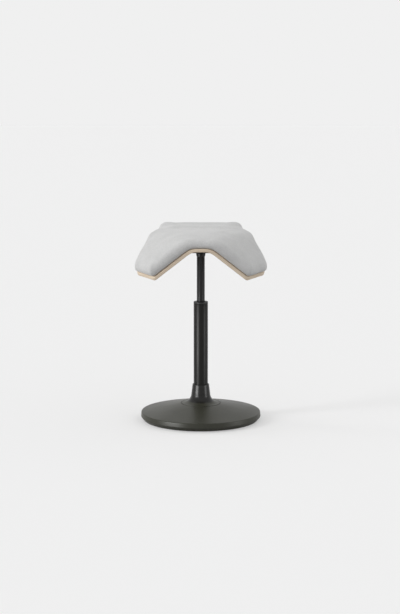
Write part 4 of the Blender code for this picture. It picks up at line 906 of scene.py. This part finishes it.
# the floor keeps the object's shadow; for the camera a share of it glows evenly in the pale tone of the backdrop
def makeFloor():
    half = studio["floorSize"] / 2
    corners = np.array([(-half, -half, 0), (half, -half, 0), (half, half, 0), (-half, half, 0)])
    mesh = bpy.data.meshes.new("studio_floor")
    mesh.from_pydata(corners.tolist(), [], [(0, 1, 2, 3)])
    floor = bpy.data.objects.new("studio_floor", mesh)
    bpy.context.scene.collection.objects.link(floor)
    material = bpy.data.materials.new("studio_floor")
    material.use_nodes = True
    tree = material.node_tree
    shader = tree.nodes["Principled BSDF"]
    path = addNode(tree, "LightPath", {}).outputs
    seen = calc(tree, "MAXIMUM", path["Is Camera Ray"], path["Is Glossy Ray"])
    pale, bounce = [(value, value, value) for value in (studio["floorColour"], studio["bounce"])]
    tree.links.new(mixColour(tree, seen, bounce, pale), shader.inputs["Base Color"])
    shader.inputs["Roughness"].default_value = 1.0
    shader.inputs["Specular IOR Level"].default_value = 0.0
    glow = addNode(tree, "Emission", {"Color": (*pale, 1.0), "Strength": 1.0}).outputs[0]
    share = calc(tree, "MULTIPLY", path["Is Camera Ray"], studio["evenFloor"])
    mixed = addNode(tree, "MixShader", {0: share, 1: shader.outputs[0], 2: glow}).outputs[0]
    tree.links.new(mixed, tree.nodes["Material Output"].inputs["Surface"])
    mesh.materials.append(material)


# a lamp that looks at the column from a side, given by its plan direction, and from a height above the floor
def aimLamp(name, light, plan, elevation):
    lamp = bpy.data.objects.new(name, light)
    bpy.context.scene.collection.objects.link(lamp)
    lamp.rotation_euler = (math.pi / 2 - elevation, 0, math.atan2(plan[0], -plan[1]))
    return lamp


# the key is one tall soft light, cut into suns one above the other
def makeKey():
    heights = studio["keyHeights"]
    for height, plan in zip(heights, studio["keyPlans"]):
        light = bpy.data.lights.new(f"key_{height}", "SUN")
        light.energy = studio["keyStrength"] / len(heights)
        light.angle = studio["keyAngle"]
        lamp = aimLamp(light.name, light, plan, math.radians(height))
        lamp.visible_glossy = False


# low panels that show only as highlights, on the base and the column's foot: side is the angle from the front,
# to the left where it is negative
panels = {
    "panel_left": {"side": -50, "distance": 0.85, "width": 0.44, "low": 0.01, "high": 0.26, "glow": 15.0},
    "panel_right": {"side": 65, "distance": 0.85, "width": 0.32, "low": 0.01, "high": 0.26, "glow": 6.0},
}


# power of a panel = glow * pi * area
def makePanels():
    for name, panel in panels.items():
        tall = panel["high"] - panel["low"]
        light = bpy.data.lights.new(name, "AREA")
        light.shape = "RECTANGLE"
        light.size, light.size_y = panel["width"], tall
        light.energy = panel["glow"] * math.pi * panel["width"] * tall
        side = math.radians(panel["side"])
        plan = (math.sin(side), -math.cos(side))
        lamp = aimLamp(name, light, plan, 0.0)
        lamp.location = (plan[0] * panel["distance"], plan[1] * panel["distance"], panel["low"] + tall / 2)
        lamp.visible_camera = False
        lamp.visible_diffuse = False


camera = {
    "location": (-0.0028, -5.8826, 1.3415), "pitch": math.radians(9.07),
    "lens": 66.45, "sensor": 24.0, "far": 100.0,
}


def makeCamera():
    lens = bpy.data.cameras.new("camera")
    lens.sensor_fit = "VERTICAL"
    lens.sensor_height = camera["sensor"]
    lens.lens = camera["lens"]
    lens.clip_end = camera["far"]
    eye = bpy.data.objects.new("camera", lens)
    bpy.context.scene.collection.objects.link(eye)
    eye.location = camera["location"]
    eye.rotation_euler = (math.pi / 2 - camera["pitch"], 0, 0)
    bpy.context.scene.camera = eye


makeWorld()
makeFloor()
makeKey()
makePanels()
makeCamera()
bpy.context.scene.view_settings.view_transform = "Standard"
print("studio: sky, floor, key, panels, camera")
